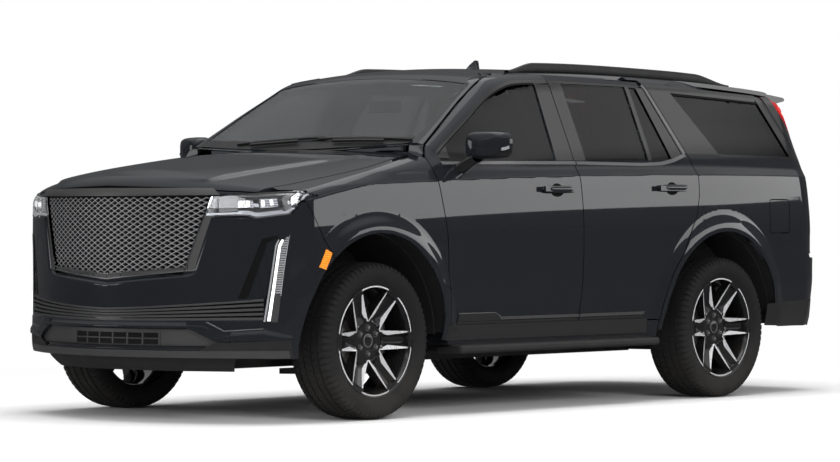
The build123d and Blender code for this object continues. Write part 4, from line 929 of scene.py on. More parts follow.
# lower front
fascia = {"slats": 5, "slatHigh": 10.5, "slatThick": 9, "holes": 6, "holeStep": 97, "holeWide": 80,
          "holeHigh": 25, "sensorHalf": 11, "lipPlaces": (-940, -820, -500, 0, 500, 820, 940)}
# name, both lines on the left side, inset, thickness, points across, rows and finish
cornerPatches = [
    ("cornerFascia", [(560, 374), (700, 374), (946, 342)], [(645, 418), (700, 416), (948, 428)], -1.5, 3, 50, 4,
     "black_plastic"),
    ("cornerInsert", [(600, 520), (684, 474), (852, 487)], [(604, 525), (720, 526), (850, 531)], 3, 3, 40, 3,
     "gloss_black"),
    ("cornerInsertRim", [(600, 519), (684, 473), (855, 486)], [(606, 523), (686, 479), (855, 491)], -7, 4, 40,
     1,
     "dark_chrome"),
]
scoopPatches = [
    ("scoopFloor", [(764, 640), (858, 936)], [(853, 640), (898, 950)], 8, 3, 60, 8, "paint"),
    ("scoopCheek", [(770, 820), (770, 968)], [(802, 820), (850, 968)], -0.8, 3, 40, 4, "paint"),
    # the two black bands below are painted shade: they lie flush on the skin where the painted recess beside
    # the day lamp falls into shade along its inner edge and top
    ("scoopEdgeShade", [(738, 640), (839, 944)], [(776, 640), (866, 944)], -1, 3, 60, 4, "void"),
    ("scoopHeaderShade", [(840, 920), (876, 934), (902, 952)], [(838, 944), (876, 955), (904, 963)], -1, 3, 20, 3,
     "void"),
]

def onHand(hand, line):
    return [(hand * y, z) for y, z in line]

def slatRise(y):
    # how much higher the slats' top lies away from the middle
    return 50 * (abs(y) / 855) ** 1.5

def box(y, z, wide, high):
    # both lines of a rectangle on the nose
    return [(y, z), (y + wide, z)], [(y, z + high), (y + wide, z + high)]

def makeSlats():
    for k in range(fascia["slats"]):
        share = k / fascia["slats"]
        low = [(y, 523 + abs(y) / 85 + share * (69 + slatRise(y))) for y in range(-848, 849, 106)]
        high = [(y, z + fascia["slatHigh"] + 3 * (abs(y) / 850) ** 2) for y, z in low]
        slat = nosePatch(f"frontSlat{k}", low, high, 1 + 1.5 * (k % 2), fascia["slatThick"], 80, 2)
        settle(slat, "slate", "root")
    settle(nosePatch("slatBack", arrow(850, 528, 519), arrow(850, 642, 594), 14, 2, 80, 2), "void", "root")

def makeFascia():
    makeSlats()
    panel = nosePatch("lowerPanel", arrow(720, 374, 374), arrow(720, 484, 482), 15, 3, 80, 6)
    settle(panel, "slate", "root", "lower_grille")
    for row in range(2):
        for k in range(fascia["holes"]):
            spot = box(-227 + k * fascia["holeStep"], 405 + row * 33, fascia["holeWide"], fascia["holeHigh"])
            settle(nosePatch(f"airHole{row}{k}", *spot, 13, 3, 6, 2), "void", "root")
    chin = [(y, 590 + slatRise(y)) for y in range(-800, 801, 100)]
    fill = nosePatch("slatHeader", chin, [(y, max(z + 3, 652)) for y, z in chin], -0.5, 12, 90, 3)
    settle(fill, "paint", "root")
    for hand in (-1, 1):
        step = nosePatch("wingStep", onHand(hand, [(505, 485), (524, 485), (641, 424), (715, 418)]),
                         onHand(hand, [(505, 522), (589, 522), (684, 473), (715, 475)]), -11, 22, 40, 4)
        settle(step, "paint", "root", smooth=30)
    settle(nosePatch("airRail", *box(-240, 432, 592, 5), 9, 6, 40, 1), "slate", "root")
    for k in range(fascia["holes"] + 1):
        y = -236 + k * fascia["holeStep"]
        bar = nosePatch(f"airBar{k}", [(y, 403), (y, 466)], [(y + 7, 403), (y + 7, 466)], 10, 5, 8, 1)
        settle(bar, "slate", "root")
    low, high = [[(y, z) for y, z in zip(fascia["lipPlaces"], heights)]
                 for heights in ([337] * 7, (376, 376, 372, 372, 372, 376, 376))]
    settle(nosePatch("skidLip", low, high, -3, 8, 90, 4), "slate", "root")
    for patches in (cornerPatches, scoopPatches):
        for hand in (-1, 1):
            for name, low, high, inset, thick, across, rows, finish in patches:
                piece = nosePatch(name, onHand(hand, low), onHand(hand, high), inset, thick, across, rows)
                settle(piece, finish, "root")
    valance = nosePatch("valance", arrow(640, 264, 264), arrow(700, 342, 342), 60, 6, 60, 3)
    settle(valance, "black_plastic", "root")
    half = fascia["sensorHalf"]
    for y, z in ((714, 666), (-714, 666), (250, 620), (-250, 620)):
        ring = nosePatch("parkSensor", *box(y - half, z - half, 2 * half, 2 * half), -0.6, 1, 4, 4)
        settle(ring, "paint", "root")

makeFascia()
print("fascia made")

# pillars, window frames, belt and mouldings, on the left side and mirrored
def doorOf(name):
    return {"front": "front_left_door", "rear": "rear_left_door", "root": "root"}[name]

frameTop = curve((-30, 1823), (160, 1820), (300, 1809), (420, 1780), (560, 1723), (760, 1608), (995, 1473),
                 (1110, 1400))

def frameLine(lift, first=-19, last=1104):
    return [(x, float(frameTop(x)) + lift) for x in np.linspace(first, last, 40)]

# name, door or root, both lines of (x, z) points, inset, thickness, finish, points across and rows
trimStrips = [
    ("pillarFront", "front", [(130, 1370), (-22, 1373)], [(104, 1814), (-19, 1822)], -1, 4, "gloss_black", 8,
     12),
    ("pillarRear", "rear", [(-31, 1373), (-134, 1374)], [(-26, 1822), (-133, 1814)], -1, 4, "gloss_black", 8,
     12),
    ("frontFrameTop", "front", frameLine(-15), frameLine(3), -0.6, 6, "gloss_black", 110, 2),
    ("rearFrameTop", "rear", [(-133, 1810), (-722, 1806), (-824, 1802)], [(-26, 1822), (-722, 1819),
        (-880, 1814)],
     1, 6, "gloss_black", 50, 2),
    ("frontFrameSeal", "front", frameLine(-24), frameLine(-12), 1, 5, "void", 110, 2),
    ("quarterFrameSeal", "root", [(-1142, 1770), (-2020, 1740)], [(-1134, 1790), (-2012, 1758)], 1, 5, "void",
     80, 2),
    ("rearDivider", "rear", [(-717, 1382), (-752, 1384)], [(-719, 1808), (-754, 1808)], -1, 6, "gloss_black", 6,
     16),
    ("rearFrameBack", "rear", [(-944, 1392), (-1072, 1424)], [(-820, 1804), (-908, 1800)], -1, 6, "gloss_black",
     10, 24),
    ("pillarBack", "root", [(-1106, 1424), (-1424, 1424)], [(-930, 1812), (-1118, 1812)], -1, 5, "gloss_black",
     24, 24),
    ("quarterFrameTop", "root", [(-934, 1786), (-1118, 1784), (-2000, 1750)],
     [(-922, 1826), (-1118, 1824), (-2030, 1790)], -1, 5, "gloss_black", 80, 6),
    ("quarterFrameLow", "root", [(-1418, 1412), (-2200, 1408)], [(-1420, 1426), (-2196, 1422)], -1, 5,
     "gloss_black",
     40, 2),
    ("quarterFrameBack", "root", [(-2192, 1412), (-2282, 1408)], [(-2006, 1782), (-2052, 1784)], -1, 5,
     "gloss_black", 10, 24),
    ("doorBackTrim", "rear", [(-1058, 1420), (-1088, 1430)], [(-882, 1822), (-900, 1826)], -7, 9, "dark_chrome",
     3, 30),
    ("beltFront", "front", [(1098, 1338), (600, 1344), (-30, 1351)], [(1104, 1352), (600, 1361), (-28, 1368)],
     -7, 9, "dark_chrome", 60, 3),
    ("beltRear", "rear", [(-42, 1351), (-640, 1349), (-830, 1356), (-960, 1376), (-1084, 1410)],
     [(-40, 1368), (-640, 1366), (-820, 1374), (-946, 1394), (-1070, 1426)], -7, 9, "dark_chrome", 60, 3),
    ("sillTrimLead", "front", [(1000, 496), (620, 496)], [(994, 539), (692, 539), (640, 516), (620, 515)],
     -5, 6, "black_plastic", 40, 3),
    ("sillLeadLine", "front", [(996, 537), (693, 537), (640, 513)], [(996, 541), (692, 541), (638, 517)],
     -7, 8, "dark_chrome", 60, 1),
    ("sillTrimFront", "front", [(640, 500), (-46, 500)], [(650, 515), (-46, 515)], -8, 9, "satin", 70, 3),
    ("sillShadowFront", "front", [(1004, 482), (-44, 484)], [(1000, 494), (-46, 494)], -3, 5, "black_plastic",
     50, 1),
    ("sillTrimRear", "rear", [(-60, 500), (-640, 502)], [(-60, 515), (-655, 517)], -8, 9, "satin", 50, 3),
    ("sillCover", "root", [(1085, 396), (200, 396), (-690, 396)], [(1085, 476), (200, 477), (-690, 478)], -0.9,
     3,
     "black_plastic", 60, 6),
    ("sillShadowRear", "rear", [(-58, 484), (-640, 486)], [(-60, 494), (-640, 496)], -3, 5, "black_plastic", 50,
     1),
]

def makeTrims():
    for name, part, low, high, inset, thick, finish, across, rows in trimStrips:
        pair(sidePatch(name, low, high, inset, thick, across, rows), finish, doorOf(part))
    # windscreen pillar and the door's frame beside it
    screenEdge = onTop([(1180, 786), (1000, 762), (800, 730), (640, 706), (560, 700), (400, 694)], cabinTop)
    doorEdge = onSide([(1150, 1444), (744, 1691), (642, 1748), (542, 1801), (450, 1829), (374, 1853)], cabinTop)
    pair(skinStrip("screenPillar", screenEdge, doorEdge, 70, 12), "paint", "root", smooth=60)
    glassEdge = onSide(frameLine(2)[::-1], cabinTop)
    roofEdge = onSide([(1146, 1438), (1020, 1514), (642, 1742), (542, 1794), (440, 1826), (370, 1842),
                       (160, 1850), (-19, 1853)], cabinTop)
    pair(skinStrip("doorFrameSkin", glassEdge, roofEdge, 90, 8), "paint", "front_left_door", smooth=60)
    marker = sidePatch("sideMarker", [(2104, 786), (2150, 800)], [(2060, 872), (2096, 892)], -4, 6, 8, 12,
                       hoodTop)
    pair(marker, "amber", "root")

def bar(name, low, high, bevel):
    # a rounded bar between two corners, in millimetres
    size = [b - a for a, b in zip(low, high)]
    center = [(a + b) / 2 for a, b in zip(low, high)]
    bpy.ops.mesh.primitive_cube_add(size=1, location=[c / 1000 for c in center])
    obj = renamed(name)
    obj.scale = [s / 1000 for s in size]
    bpy.ops.object.transform_apply(location=True, rotation=True, scale=True)
    return apply(obj, "BEVEL", width=bevel / 1000, segments=4, limit_method="ANGLE")

def ringAt(share):
    # cosine and sine of a share of a whole turn
    angle = share * 2 * math.pi
    return np.cos(angle), np.sin(angle)

handles = {"front": (178, 1207), "rear": (-886, 1222), "half": 145, "standOff": 26, "thick": 11, "high": 20,
           "scoopRadius": 46}

def makeHandles():
    # pull handle over a flat black disc of painted shade that stands for its scoop, one on each door
    for place in ("front", "rear"):
        x, z = handles[place]
        outer = sideWidth(x, z)

        def pull(u, v):
            (c, q), t = ringAt(v), 2 * u - 1
            thin = (1.0001 - np.abs(t) ** 5) ** 0.5
            y = outer + handles["standOff"] - 22 * np.abs(t) ** 6 + handles["thick"] * c * (0.4 + 0.6 * thin)
            return np.stack([x + handles["half"] * t, y, z + 2 + handles["high"] * thin * q], -1)

        def scoop(u, v):
            radius, (c, q) = handles["scoopRadius"] * u, ringAt(v)
            rise = radius * q
            flat = np.stack([x + radius * 1.2 * c, z - 10 + np.maximum(rise, 0.62 * rise)], -1)
            return onSide(flat, cabinTop, -1.2)

        grip = merged(grid(f"{place}Handle", 36, 24, pull), 1e-5)
        # the disc is painted shade: a deep black sheet laid on the flat skin where the scoop behind the handle
        # lies in shade
        disc = faceOut(merged(grid(f"{place}HandleScoop", 8, 36, scoop), 1e-5), (0, 1, 0))
        pair(grip, "paint", f"{place}_left_door", slotName="gloss_black")
        pair(disc, "void", f"{place}_left_door", slotName="gloss_black")

mirrorSet = {"front": 1000, "back": 868, "inner": 990, "outer": 1219, "low": 1357, "high": 1519}

def makeMirrors():
    # a rounded shell on a foot: the upper part is painted, the base black, the tip has an indicator
    s = mirrorSet
    midZ, midY = (s["low"] + s["high"]) / 2, (s["inner"] + s["outer"]) / 2

    def shell(u, v):
        # u goes round, v from the back edge to the closed front
        c, q = ringAt(u)
        square = (np.abs(c) ** 4 + np.abs(q) ** 4) ** -0.25
        close = np.sqrt(np.maximum(1 - v**2.6, 0))
        halfY, halfZ = (s["outer"] - s["inner"]) / 2, (s["high"] - s["low"]) / 2
        y = midY + halfY * c * square * (0.5 + 0.5 * close)
        y = np.where(v > 0.999, midY, y)
        lean = (y - s["inner"]) / (2 * halfY)
        z = midZ + halfZ * q * square * (0.55 + 0.45 * close) * (1 - 0.14 * lean) + 5 * lean
        z = np.where(v > 0.999, midZ, z)
        back = s["back"] - 30 * lean
        x = back + (s["front"] - 92 * lean**1.6 - back) * v**0.7
        return np.stack([x, y, z], -1)

    def pane(u, v):
        rim = shell(u, 0 * v)
        middle = [0, midY, midZ]
        return rim * [1, 0, 0] + [6, 0, 0] + ((rim * [0, 1, 1] - middle) * (v * 0.86)[:, None] + middle)

    def tip(u, v):
        p = shell(0.988 - 0.035 * v - 0.03 * u, 0.3 + 0.5 * u)
        return p + (p - [s["back"], midY, midZ]) * 0.02

    def foot(u, v):
        c, q = ringAt(u)
        return np.stack([965 - 34 * v + (56 - 8 * v) * c, 944 + 112 * v, 1292 + 84 * v**0.8 + (30 - 6 * v) * q],
                        -1)

    head = merged(grid("mirrorHead", 64, 14, shell), 1e-5)
    for finish in ("paint", "gloss_black"):
        head.data.materials.append(finishes[finish])
    for face in head.data.polygons:
        low = face.center.z * 1000 < midZ - 50 + 26 * (face.center.y * 1000 - midY) / 115
        face.material_index = 1 if low or face.center.x * 1000 < s["back"] - 28 else 0
    glass = merged(grid("mirrorGlass", 24, 6, pane), 1e-6)
    lamp = apply(faceOut(grid("mirrorIndicator", 16, 4, tip), (0, 1, 0)), "SOLIDIFY", thickness=0.004, offset=0)
    arm = apply(grid("mirrorFoot", 28, 10, foot), "SOLIDIFY", thickness=0.003, offset=-1)
    sail = sidePatch("mirrorSail", [(1092, 1372), (1010, 1370)], [(1092, 1404), (1010, 1462)], 2, 6, 8, 6)
    twin = pair(head, None, "front_left_door", "mirror_left", smooth=50, slotName="paint")
    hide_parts("mirror_right")
    for obj, finish in ((glass, "chrome"), (lamp, "silver"), (arm, "gloss_black"), (sail, "gloss_black")):
        pair(obj, finish, "front_left_door", smooth=50, slotName="gloss_black")

rails = {"front": 168, "long": 2130, "y": 628, "drawnIn": 16, "halfWide": 17, "lowRise": 6, "rise": 22}
fin = {"front": -222, "long": 130, "high": 60, "halfFront": 6, "halfWide": 22}
seams = {"front": 560, "long": 2800, "y": 668, "wide": 5}

def makeRoof():
    # low rails that rise from the roof and fall back to it, the aerial's fin and the seams beside the panel
    def rail(u, v):
        c, q = ringAt(v)
        square = (np.abs(c) ** 3 + np.abs(q) ** 3) ** (-1 / 3)
        x = rails["front"] - rails["long"] * u
        ends = ease(np.minimum(u * 9, (1 - u) * 6))
        y = rails["y"] + 0 * x - rails["drawnIn"] * ease((u - 0.7) / 0.3)
        base = layOn(np.stack([x, y, cabinTop(x, 625 + 0 * x)], -1), cabinTop, 0, turns=4)[:, 2]
        rise = rails["lowRise"] + rails["rise"] * ends
        z = base - 4 + rise + (rise + 4) * q * square * 0.9
        return np.stack([x, y + rails["halfWide"] * c * square, z], -1)

    def aerial(u, v):
        x = fin["front"] - fin["long"] * u
        height = fin["high"] * np.clip((u - 0.02) * 1.55, 0, 1) ** 0.8 * ease((1.02 - u) * 12)
        side = 2 * v - 1
        half = fin["halfFront"] + fin["halfWide"] * np.sin(np.clip(u * 1.1, 0, 1) * math.pi) ** 0.6
        y = half * np.sign(side) * np.abs(side) ** 1.6
        z = cabinTop(x, 0 * x) - 3 + np.maximum(height, 3) * (1 - np.abs(side) ** 1.3)
        return np.stack([x, y, z], -1)

    piece = apply(merged(grid("roofRail", 110, 20, rail), 1e-6), "SMOOTH", factor=0.3, iterations=1)
    pair(piece, "black_plastic", "root", "roof_rails", smooth=50, slotName="gloss_black")
    settle(faceOut(grid("aerialFin", 30, 16, aerial), (0, 0, 1)), "paint", "root", smooth=60)
    for hand in (-1, 1):
        def channel(u, v, hand=hand):
            x = seams["front"] - seams["long"] * u
            start = np.stack([x, hand * (seams["y"] + seams["wide"] * v), cabinTop(x, seams["y"] + 0 * x)], -1)
            return layOn(start, cabinTop, -0.8, turns=4)

        seam = faceOut(grid("roofSeam", 80, 1, channel), (0, 0, 1))
        settle(seam, "void", "root", slotName="gloss_black")

wipers = {"pivots": ((1240, 430, 640), (1262, -170, 620)), "cowlHalf": 780, "cowlDeep": 70}

def makeWipers():
    # two arms with blades lie at the foot of the windscreen, over a cowl
    for k, (pivotX, pivotY, reach) in enumerate(wipers["pivots"]):
        def sweep(u, v, low, wide, up, pivotX=pivotX, pivotY=pivotY, reach=reach):
            x, y = pivotX - 40 - 34 * u + 26 * (low - 0.5), pivotY + reach * (u - 0.45)
            start = np.stack([x + wide * (v - 0.5), y + 0 * v, cabinTop(x, y)], -1)
            return layOn(start, cabinTop, -up, turns=4)

        blade = grid(f"wiperBlade{k}", 30, 2, lambda u, v: sweep(u, v, 0.0, 14, 16))
        arm = grid(f"wiperArm{k}", 20, 2, lambda u, v: sweep(u * 0.55 + 0.2, v, 1.2, 20, 26))
        for obj in (blade, arm):
            apply(faceOut(obj, (0.3, 0, 1)), "SOLIDIFY", thickness=0.012, offset=-1)
            settle(obj, "black_plastic", "root")

    def cowl(u, v):
        y = (2 * u - 1) * wipers["cowlHalf"]
        x = 1283 - car["screenBow"] * 1000 * (y / 1000) ** 2 - 14 - wipers["cowlDeep"] * v
        start = np.stack([x, y, cabinTop(x, y)], -1)
        return layOn(start, cabinTop, 1 - 3 * (1 - v), turns=4)

    settle(faceOut(grid("cowl", 60, 6, cowl), (0, 0, 1)), "black_plastic", "root")

liners = {"radius": 574, "firstTurn": 3, "turn": 174, "innerRadius": 60, "outerGap": 14,
          "front": {"wall": 500, "wallRadius": 620}, "rear": {"wall": 600, "wallRadius": 690}}

def makeLiners():
    # dark liners and inner walls inside the four wheel arches
    for label in ("front", "rear"):
        wall, wallRadius = liners[label]["wall"], liners[label]["wallRadius"]

        def around(u, radius):
            turn = np.radians(liners["firstTurn"] + liners["turn"] * u)
            return car[f"{label}Axle"] + radius * np.cos(turn), car["axleHeight"] + radius * np.sin(turn)

        def arc(u, v):
            x, z = around(u, liners["radius"])
            return np.stack([x, wall + (sideWidth(x, z) - liners["outerGap"] - wall) * v, z], -1)

        def disc(u, v):
            x, z = around(u, liners["innerRadius"] + (wallRadius - liners["innerRadius"]) * v)
            return np.stack([x, 0 * x + wall, z], -1)

        pair(sheet(f"{label}Liner", 60, 4, arc, (0, 0, -1), 2), "underbody", "root")
        pair(sheet(f"{label}Wall", 60, 4, disc, (0, 1, 0), 2), "underbody", "root")

makeLiners()
makeTrims()
makeHandles()
makeMirrors()
makeRoof()
makeWipers()
print("trims, handles, mirrors and roof made")

# rear
rearCorner = {"radius": 566, "firstTurn": 13, "lastTurn": 54, "back": -2164}
exhaust = {"y": 250, "z": 355, "wide": 1.7,
           "profile": [(-2420, 31), (-2562, 33), (-2566, 30), (-2560, 27), (-2440, 26)]}
tailPatches = [
    # name, both lines of (y, z) points, inset, thickness, finish and body
    ("rearLowPanel", [(-860, 396), (0, 392), (860, 396)], [(-860, 556), (0, 552), (860, 556)], -2, 4,
     "black_plastic", "root"),
    ("rearStrip", [(-820, 560), (0, 556), (820, 560)], [(-820, 572), (0, 568), (820, 572)], -4, 5,
     "dark_chrome",
     "root"),
    # the two reflectors take the lit red lamp finish, a painted glow: they give no light of their own
    ("rearReflectorGlowLeft", [(620, 600), (780, 604)], [(620, 622), (780, 626)], -3, 4, "red_light", "root"),
    ("rearReflectorGlowRight", [(-780, 604), (-620, 600)], [(-780, 626), (-620, 622)], -3, 4, "red_light", "root"),
    ("plateRecess", [(-270, 930), (270, 930)], [(-270, 1110), (270, 1110)], 4, 3, "void", "tailgate_lid"),
    ("plateBlank", [(-152, 945), (152, 945)], [(-152, 1095), (152, 1095)], 0, 2, "slate", "tailgate_lid"),
    ("tailBar", [(-560, 1128), (0, 1128), (560, 1128)], [(-560, 1168), (0, 1168), (560, 1168)], -8, 9,
     "dark_chrome", "tailgate_lid"),
]

def tailPatch(name, low, high, inset, thick):
    # a strip on the tail between two lines of (y, z) points
    def place(u, v):
        y, z = between(low, high, u, v).T
        start = np.stack([-car["length"] / 2 + tailFace(z) + car["tailBow"] * y**2 / 1000 + 30, y, z], -1)
        for turn in range(4):
            start = np.stack([layOn(start, cabinTop, inset, turns=3)[:, 0], y, z], -1)
        return start

    return sheet(name, 60, 3, place, (-1, 0, 0), thick)

def makeRear():
    side = sidePatch("rearValance", [(-1876, 410), (-2100, 402), (-2330, 398)],
                     [(-1858, 538), (-2100, 548), (-2400, 560)], -2, 4, 40, 4)
    pair(side, "black_plastic", "root")
    turns = np.radians(np.linspace(rearCorner["firstTurn"], rearCorner["lastTurn"], 19))
    archLine = [(car["rearAxle"] - rearCorner["radius"] * math.cos(t),
                 car["axleHeight"] + rearCorner["radius"] * math.sin(t)) for t in turns]
    backLine = [(rearCorner["back"], z) for x, z in archLine]
    pair(sidePatch("rearCorner", archLine, backLine, -0.6, 5, 40, 24), "paint", "root")
    for name, low, high, inset, thick, finish, body in tailPatches:
        settle(tailPatch(name, low, high, inset, thick), finish, body)
    for hand in (-1, 1):
        def tip(u, v, hand=hand):
            (c, q), (x, radius) = ringAt(u), runAlong(exhaust["profile"], v).T
            y = hand * exhaust["y"] + radius * exhaust["wide"] * c
            return np.stack([x, y, exhaust["z"] + radius * q], -1)

        settle(merged(grid("exhaustTip", 40, 16, tip), 1e-6), "chrome", "root", slotName="bare_steel")

tailEdge = {"heights": [810, 1275, 1410, 1860], "places": [-2350, -2350, -2290, -2060], "gap": 8, "wide": 150}
tailRows = [
    # name, where it starts and stops across the lamp, inset, finish, and its lowest and highest places
    ("tailLampGlass", 0.46, 1.0, -1.5, "red_lamp", 955, 1786),
    ("tailLampLine", 0.6, 0.76, -3.0, "red_light", 955, 1786),
    ("tailLampBezel", -0.08, 0.47, -2.0, "gloss_black", 955, 1786),
    ("tailCorner", -0.08, 1.04, -1.0, "paint", 836, 956),
]

def makeTailLamps():
    # tall lamps that wrap the rear corner: clear outer lens, lit red line and a dark inner bezel
    for name, start, stop, inset, finish, low, high in tailRows:
        def lens(u, v):
            z = low + (high - low) * v
            across = start + (stop - start) * u
            x = np.interp(z, tailEdge["heights"],
                          tailEdge["places"]) - tailEdge["gap"] - tailEdge["wide"] * across
            y = sideWidth(x, z) * (1 - 0.35 * across**2)
            for turn in range(6):
                x, y = layOn(np.stack([x, y, z], -1), cabinTop, inset, turns=2).T[:2]
            return np.stack([x, y, z], -1)

        pair(sheet(name, 10, 60, lens, (-1, 1, 0), 3), finish, "root")

makeRear()
makeTailLamps()
print("rear made")

# interior: seats, dashboard screens, vents, console and inside mirror
seats = {
    "front": {"x": 300, "deep": 500}, "middle": {"x": -560, "deep": 480},
    "y": 400, "wide": 540, "floor": 440, "rise": 200, "baseHalf": (240, 220),
}
bench = {"x": -1470, "wide": 1020, "restPlaces": (-360, 0, 360)}
vents = {"places": (-560, -330, 60, 330), "half": 70}

def cushion(name, center, size, lean=0.0, crown=18, channels=0, round=0.24):
    # a padded block: crowned faces, rounded sides and sewn channels across it
    def power(t):
        return np.sign(t) * np.abs(t) ** round

    def skin(u, v):
        a, b = u * 2 * math.pi, (v - 0.5) * math.pi
        x, y, z = power(np.cos(b)) * power(np.cos(a)), power(np.cos(b)) * power(np.sin(a)), power(np.sin(b))
        puff = 1 + crown / size[2] * (1 - x**2) * (1 - y**2)
        if channels:
            puff = puff - 0.06 * (1 - np.abs(np.cos(x * channels * math.pi / 2)) ** 0.3)
        p = np.stack([x * size[0] / 2 * (1 - 0.03 * z**2), y * size[1] / 2, z * size[2] / 2 * puff], -1)
        turn = math.radians(lean)
        return np.stack([center[0] + p[:, 0] * math.cos(turn) - p[:, 2] * math.sin(turn), center[1] + p[:, 1],
                         center[2] + p[:, 0] * math.sin(turn) + p[:, 2] * math.cos(turn)], -1)

    obj = merged(grid(name, 72, 36, skin), 1e-5)
    settle(obj, "leather", "root", smooth=60)
    return obj

def makeSeat(label, x, y, deep):
    wide, top = seats["wide"], seats["floor"] + seats["rise"]
    cushion(f"{label}Cushion", (x + 20, y, top + 62), (deep, wide - 40, 130), 4, 16, 4)
    for side, hand in (("In", -1), ("Out", 1)):
        place = (x + 10, y + hand * (wide / 2 - 42), top + 82)
        cushion(f"{label}Bolster{side}", place, (deep - 30, 74, 130), 4, 10)
    cushion(f"{label}Back", (x - 240, y, top + 360), (560, wide - 60, 120), 104, 14, 5)
    for side, hand in (("In", -1), ("Out", 1)):
        place = (x - 215, y + hand * (wide / 2 - 46), top + 340)
        cushion(f"{label}Wing{side}", place, (480, 70, 120), 104, 8)
    cushion(f"{label}HeadRest", (x - 318, y, top + 720), (170, 250, 96), 100, 8, round=0.4)

def makeInterior():
    for label in ("front", "middle"):
        for hand, side in ((-1, "Right"), (1, "Left")):
            makeSeat(f"{label}Seat{side}", seats[label]["x"], hand * seats["y"], seats[label]["deep"])
    first = cushion("rearBench", (bench["x"], 0, 762), (470, bench["wide"], 120), 4, 14, 3)
    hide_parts("seats")
    cushion("rearBenchBack", (bench["x"] - 230, 0, 1050), (480, bench["wide"], 110), 104, 12, 3)
    for k, y in enumerate(bench["restPlaces"]):
        cushion(f"rearHeadRest{k}", (bench["x"] - 300, y, 1370), (140, 220, 84), 100, 8, round=0.4)
    halfX, halfY = seats["baseHalf"]
    for label in ("front", "middle"):
        for hand in (-1, 1):
            x, y, floor = seats[label]["x"], hand * seats["y"], seats["floor"]
            base = bar("seatBase", (x - halfX, y - halfY, floor), (x + halfX, y + halfY, floor + seats["rise"]),
                       14)
            settle(base, "soft_plastic", "root")
    settle(bar("benchBase", (-1700, -480, 640), (-1250, 480, 706), 12), "soft_plastic", "root")

    def screen(u, v):
        return np.stack([846 + 60 * (u - 0.35) ** 2 + 22 * v, 620 - 700 * u, 1170 + 128 * v], -1)

    settle(sheet("dashScreen", 40, 6, screen, (-1, 0, 0), 12), "gloss_black", "root")
    for y in vents["places"]:
        vent = bar("dashVent", (806, y - vents["half"], 1116), (822, y + vents["half"], 1150), 5)
        settle(vent, "dark_chrome", "root", slotName="soft_plastic")
    settle(bar("centreConsole", (-120, -130, 470), (760, 130, 800), 30), "soft_plastic", "root")
    settle(bar("insideMirror", (470, -120, 1640), (492, 120, 1706), 10), "soft_plastic", "root")

makeInterior()
print("interior made")

# stage, lights and camera
stageSet = {"floorSize": 400, "camera": (15.2485, 12.9502, 1.0471), "yaw": 220.673, "pitch": 0.2018,
            "lens": 149.04,
            "floorColor": (0.8, 0.8, 0.8, 1), "skyStrength": 0.75, "dimFloor": 0.95, "floorGlow": (0.06, 0.06,
                0.062, 1),
            "mirroredWhite": 0.03, "glareStrength": 0.7}

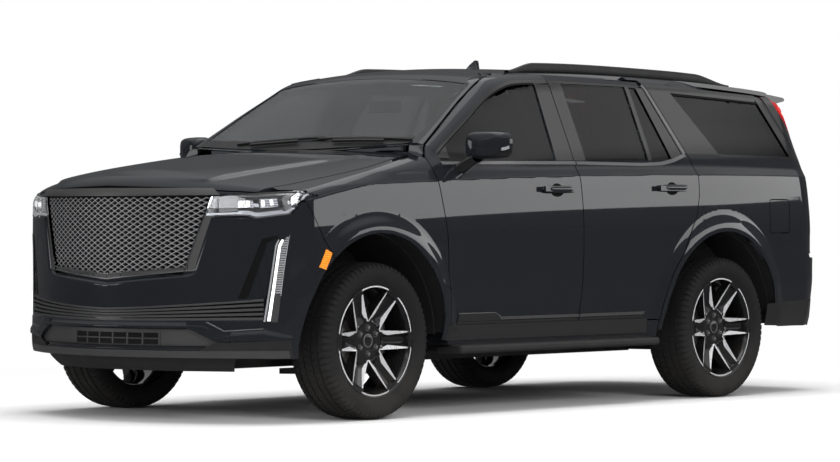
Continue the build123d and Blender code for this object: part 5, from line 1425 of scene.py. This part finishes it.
def makeStage():
    bpy.ops.mesh.primitive_plane_add(size=stageSet["floorSize"], location=(0, 0, 0))
    floor = renamed("studioFloor")
    material, tree, shader = newMaterial("studioFloor", Base_Color=stageSet["floorColor"], Roughness=0.9)
    shader.inputs["Specular IOR Level"].default_value = 0.0
    # white for the camera, away from the object's own shadow
    place = objectPlace(tree)
    away = put(tree, "ShaderNodeVectorMath", [(0, place)], operation="LENGTH")
    fade = put(tree, "ShaderNodeMapRange", [("Value", away.outputs["Value"])], in_From_Min=3.2, in_From_Max=5.5)
    rays = put(tree, "ShaderNodeLightPath")
    direct = maths(tree, "MAXIMUM", rays.outputs["Is Camera Ray"], rays.outputs["Is Transmission Ray"])
    seen = maths(tree, "MULTIPLY", fade.outputs[0], direct)
    white = put(tree, "ShaderNodeEmission", in_Color=(1, 1, 1, 1), in_Strength=1.0)
    mix = mixShaders(tree, seen, shader.outputs[0], white.outputs[0])
    # reflections show the floor at part of its brightness
    part = maths(tree, "MULTIPLY", rays.outputs["Is Glossy Ray"], stageSet["dimFloor"])
    dim = put(tree, "ShaderNodeEmission", in_Color=stageSet["floorGlow"], in_Strength=1.0)
    mix = mixShaders(tree, part, mix, dim.outputs[0])
    tree.links.new(tree.nodes["Material Output"].inputs["Surface"], mix)
    floor.data.materials.append(material)
    world = bpy.data.worlds.new("studio")
    bpy.context.scene.world = world
    world.use_nodes = True
    tree = world.node_tree
    tree.nodes.clear()
    out = tree.nodes.new("ShaderNodeOutputWorld")
    white = put(tree, "ShaderNodeBackground", in_Color=(1, 1, 1, 1), in_Strength=1.0)
    soft = put(tree, "ShaderNodeBackground", in_Strength=stageSet["skyStrength"])
    up = put(tree, "ShaderNodeSeparateXYZ", [("Vector", put(tree, "ShaderNodeTexCoord").outputs["Generated"])])
    ramp = put(tree, "ShaderNodeValToRGB", [("Fac", up.outputs["Z"])])
    ramp.color_ramp.elements[0].color = (0.05, 0.052, 0.056, 1)
    ramp.color_ramp.elements[0].position = 0.05
    ramp.color_ramp.elements[1].color = (1, 1, 1, 1)
    ramp.color_ramp.elements[1].position = 0.95
    ramp.color_ramp.elements.new(0.35).color = (0.12, 0.122, 0.126, 1)
    glow = put(tree, "ShaderNodeValToRGB", [("Fac", up.outputs["Z"])])
    glow.color_ramp.elements[0].color = glow.color_ramp.elements[1].color = (0, 0, 0, 1)
    glow.color_ramp.elements[0].position, glow.color_ramp.elements[1].position = 0.36, 0.56
    for height in (0.44, 0.49):
        glow.color_ramp.elements.new(height).color = (1, 1, 1, 1)
    side = put(tree, "ShaderNodeMapRange", [("Value", up.outputs["Y"])], in_From_Min=-0.1, in_From_Max=0.3)
    share = maths(tree, "MULTIPLY", side.outputs[0], glow.outputs["Color"])
    glare = put(tree, "ShaderNodeBackground", in_Color=(1, 1, 1, 1), in_Strength=stageSet["glareStrength"])
    tree.links.new(soft.inputs["Color"], ramp.outputs["Color"])
    soft = mixShaders(tree, share, soft.outputs[0], glare.outputs[0])
    rays = put(tree, "ShaderNodeLightPath")
    # white for the camera and through glass, and a share of it in reflections
    direct = maths(tree, "MAXIMUM", rays.outputs["Is Camera Ray"], rays.outputs["Is Transmission Ray"])
    shiny = maths(tree, "MULTIPLY", rays.outputs["Is Glossy Ray"], stageSet["mirroredWhite"])
    share = maths(tree, "MAXIMUM", direct, shiny)
    mix = mixShaders(tree, share, soft, white.outputs[0])
    tree.links.new(out.inputs["Surface"], mix)
    softboxes = [("overheadFill", (0, 0, 9), (0, 0, 0), 10, 6, 900, False),
                 ("bandSoftbox", (-14.4, 11, 3.8), (0, 0.5, 1.3), 9.4, 3.8, 290, True),
                 ("overheadSoftbox", (-1, 1, 8), (0, 0, 0), 12, 3, 90, True),
                 ("leftFill", (6, 12, 5), (0, 0, 0.8), 6, 4, 1000, False),
                 ("frontSoftbox", (14, -11, 2.6), (1, 0, 0.8), 5, 3, 110, True),
                 ("frontFill", (12, 2, 3), (1, 0, 0.8), 5, 3, 380, False)]
    for name, place, aim, sizeX, sizeY, power, shiny in softboxes:
        lamp = bpy.data.lights.new(name, "AREA")
        lamp.shape, lamp.size, lamp.size_y, lamp.energy = "RECTANGLE", sizeX, sizeY, power
        obj = link(bpy.data.objects.new(name, lamp))
        obj.visible_glossy = shiny
        obj.location = place
        obj.rotation_euler = (Vector(aim) - Vector(place)).to_track_quat("-Z", "Y").to_euler()
    camera = bpy.data.cameras.new("camera")
    camera.lens, camera.sensor_width, camera.clip_end = stageSet["lens"], 36, 500
    obj = link(bpy.data.objects.new("camera", camera))
    yaw, pitch = math.radians(stageSet["yaw"]), math.radians(stageSet["pitch"])
    ahead = Vector((math.cos(pitch) * math.cos(yaw), math.cos(pitch) * math.sin(yaw), -math.sin(pitch)))
    obj.location = stageSet["camera"]
    obj.rotation_euler = ahead.to_track_quat("-Z", "Y").to_euler()
    bpy.context.scene.camera = obj
    bpy.context.scene.view_settings.view_transform = "Standard"

makeStage()
print("stage set")
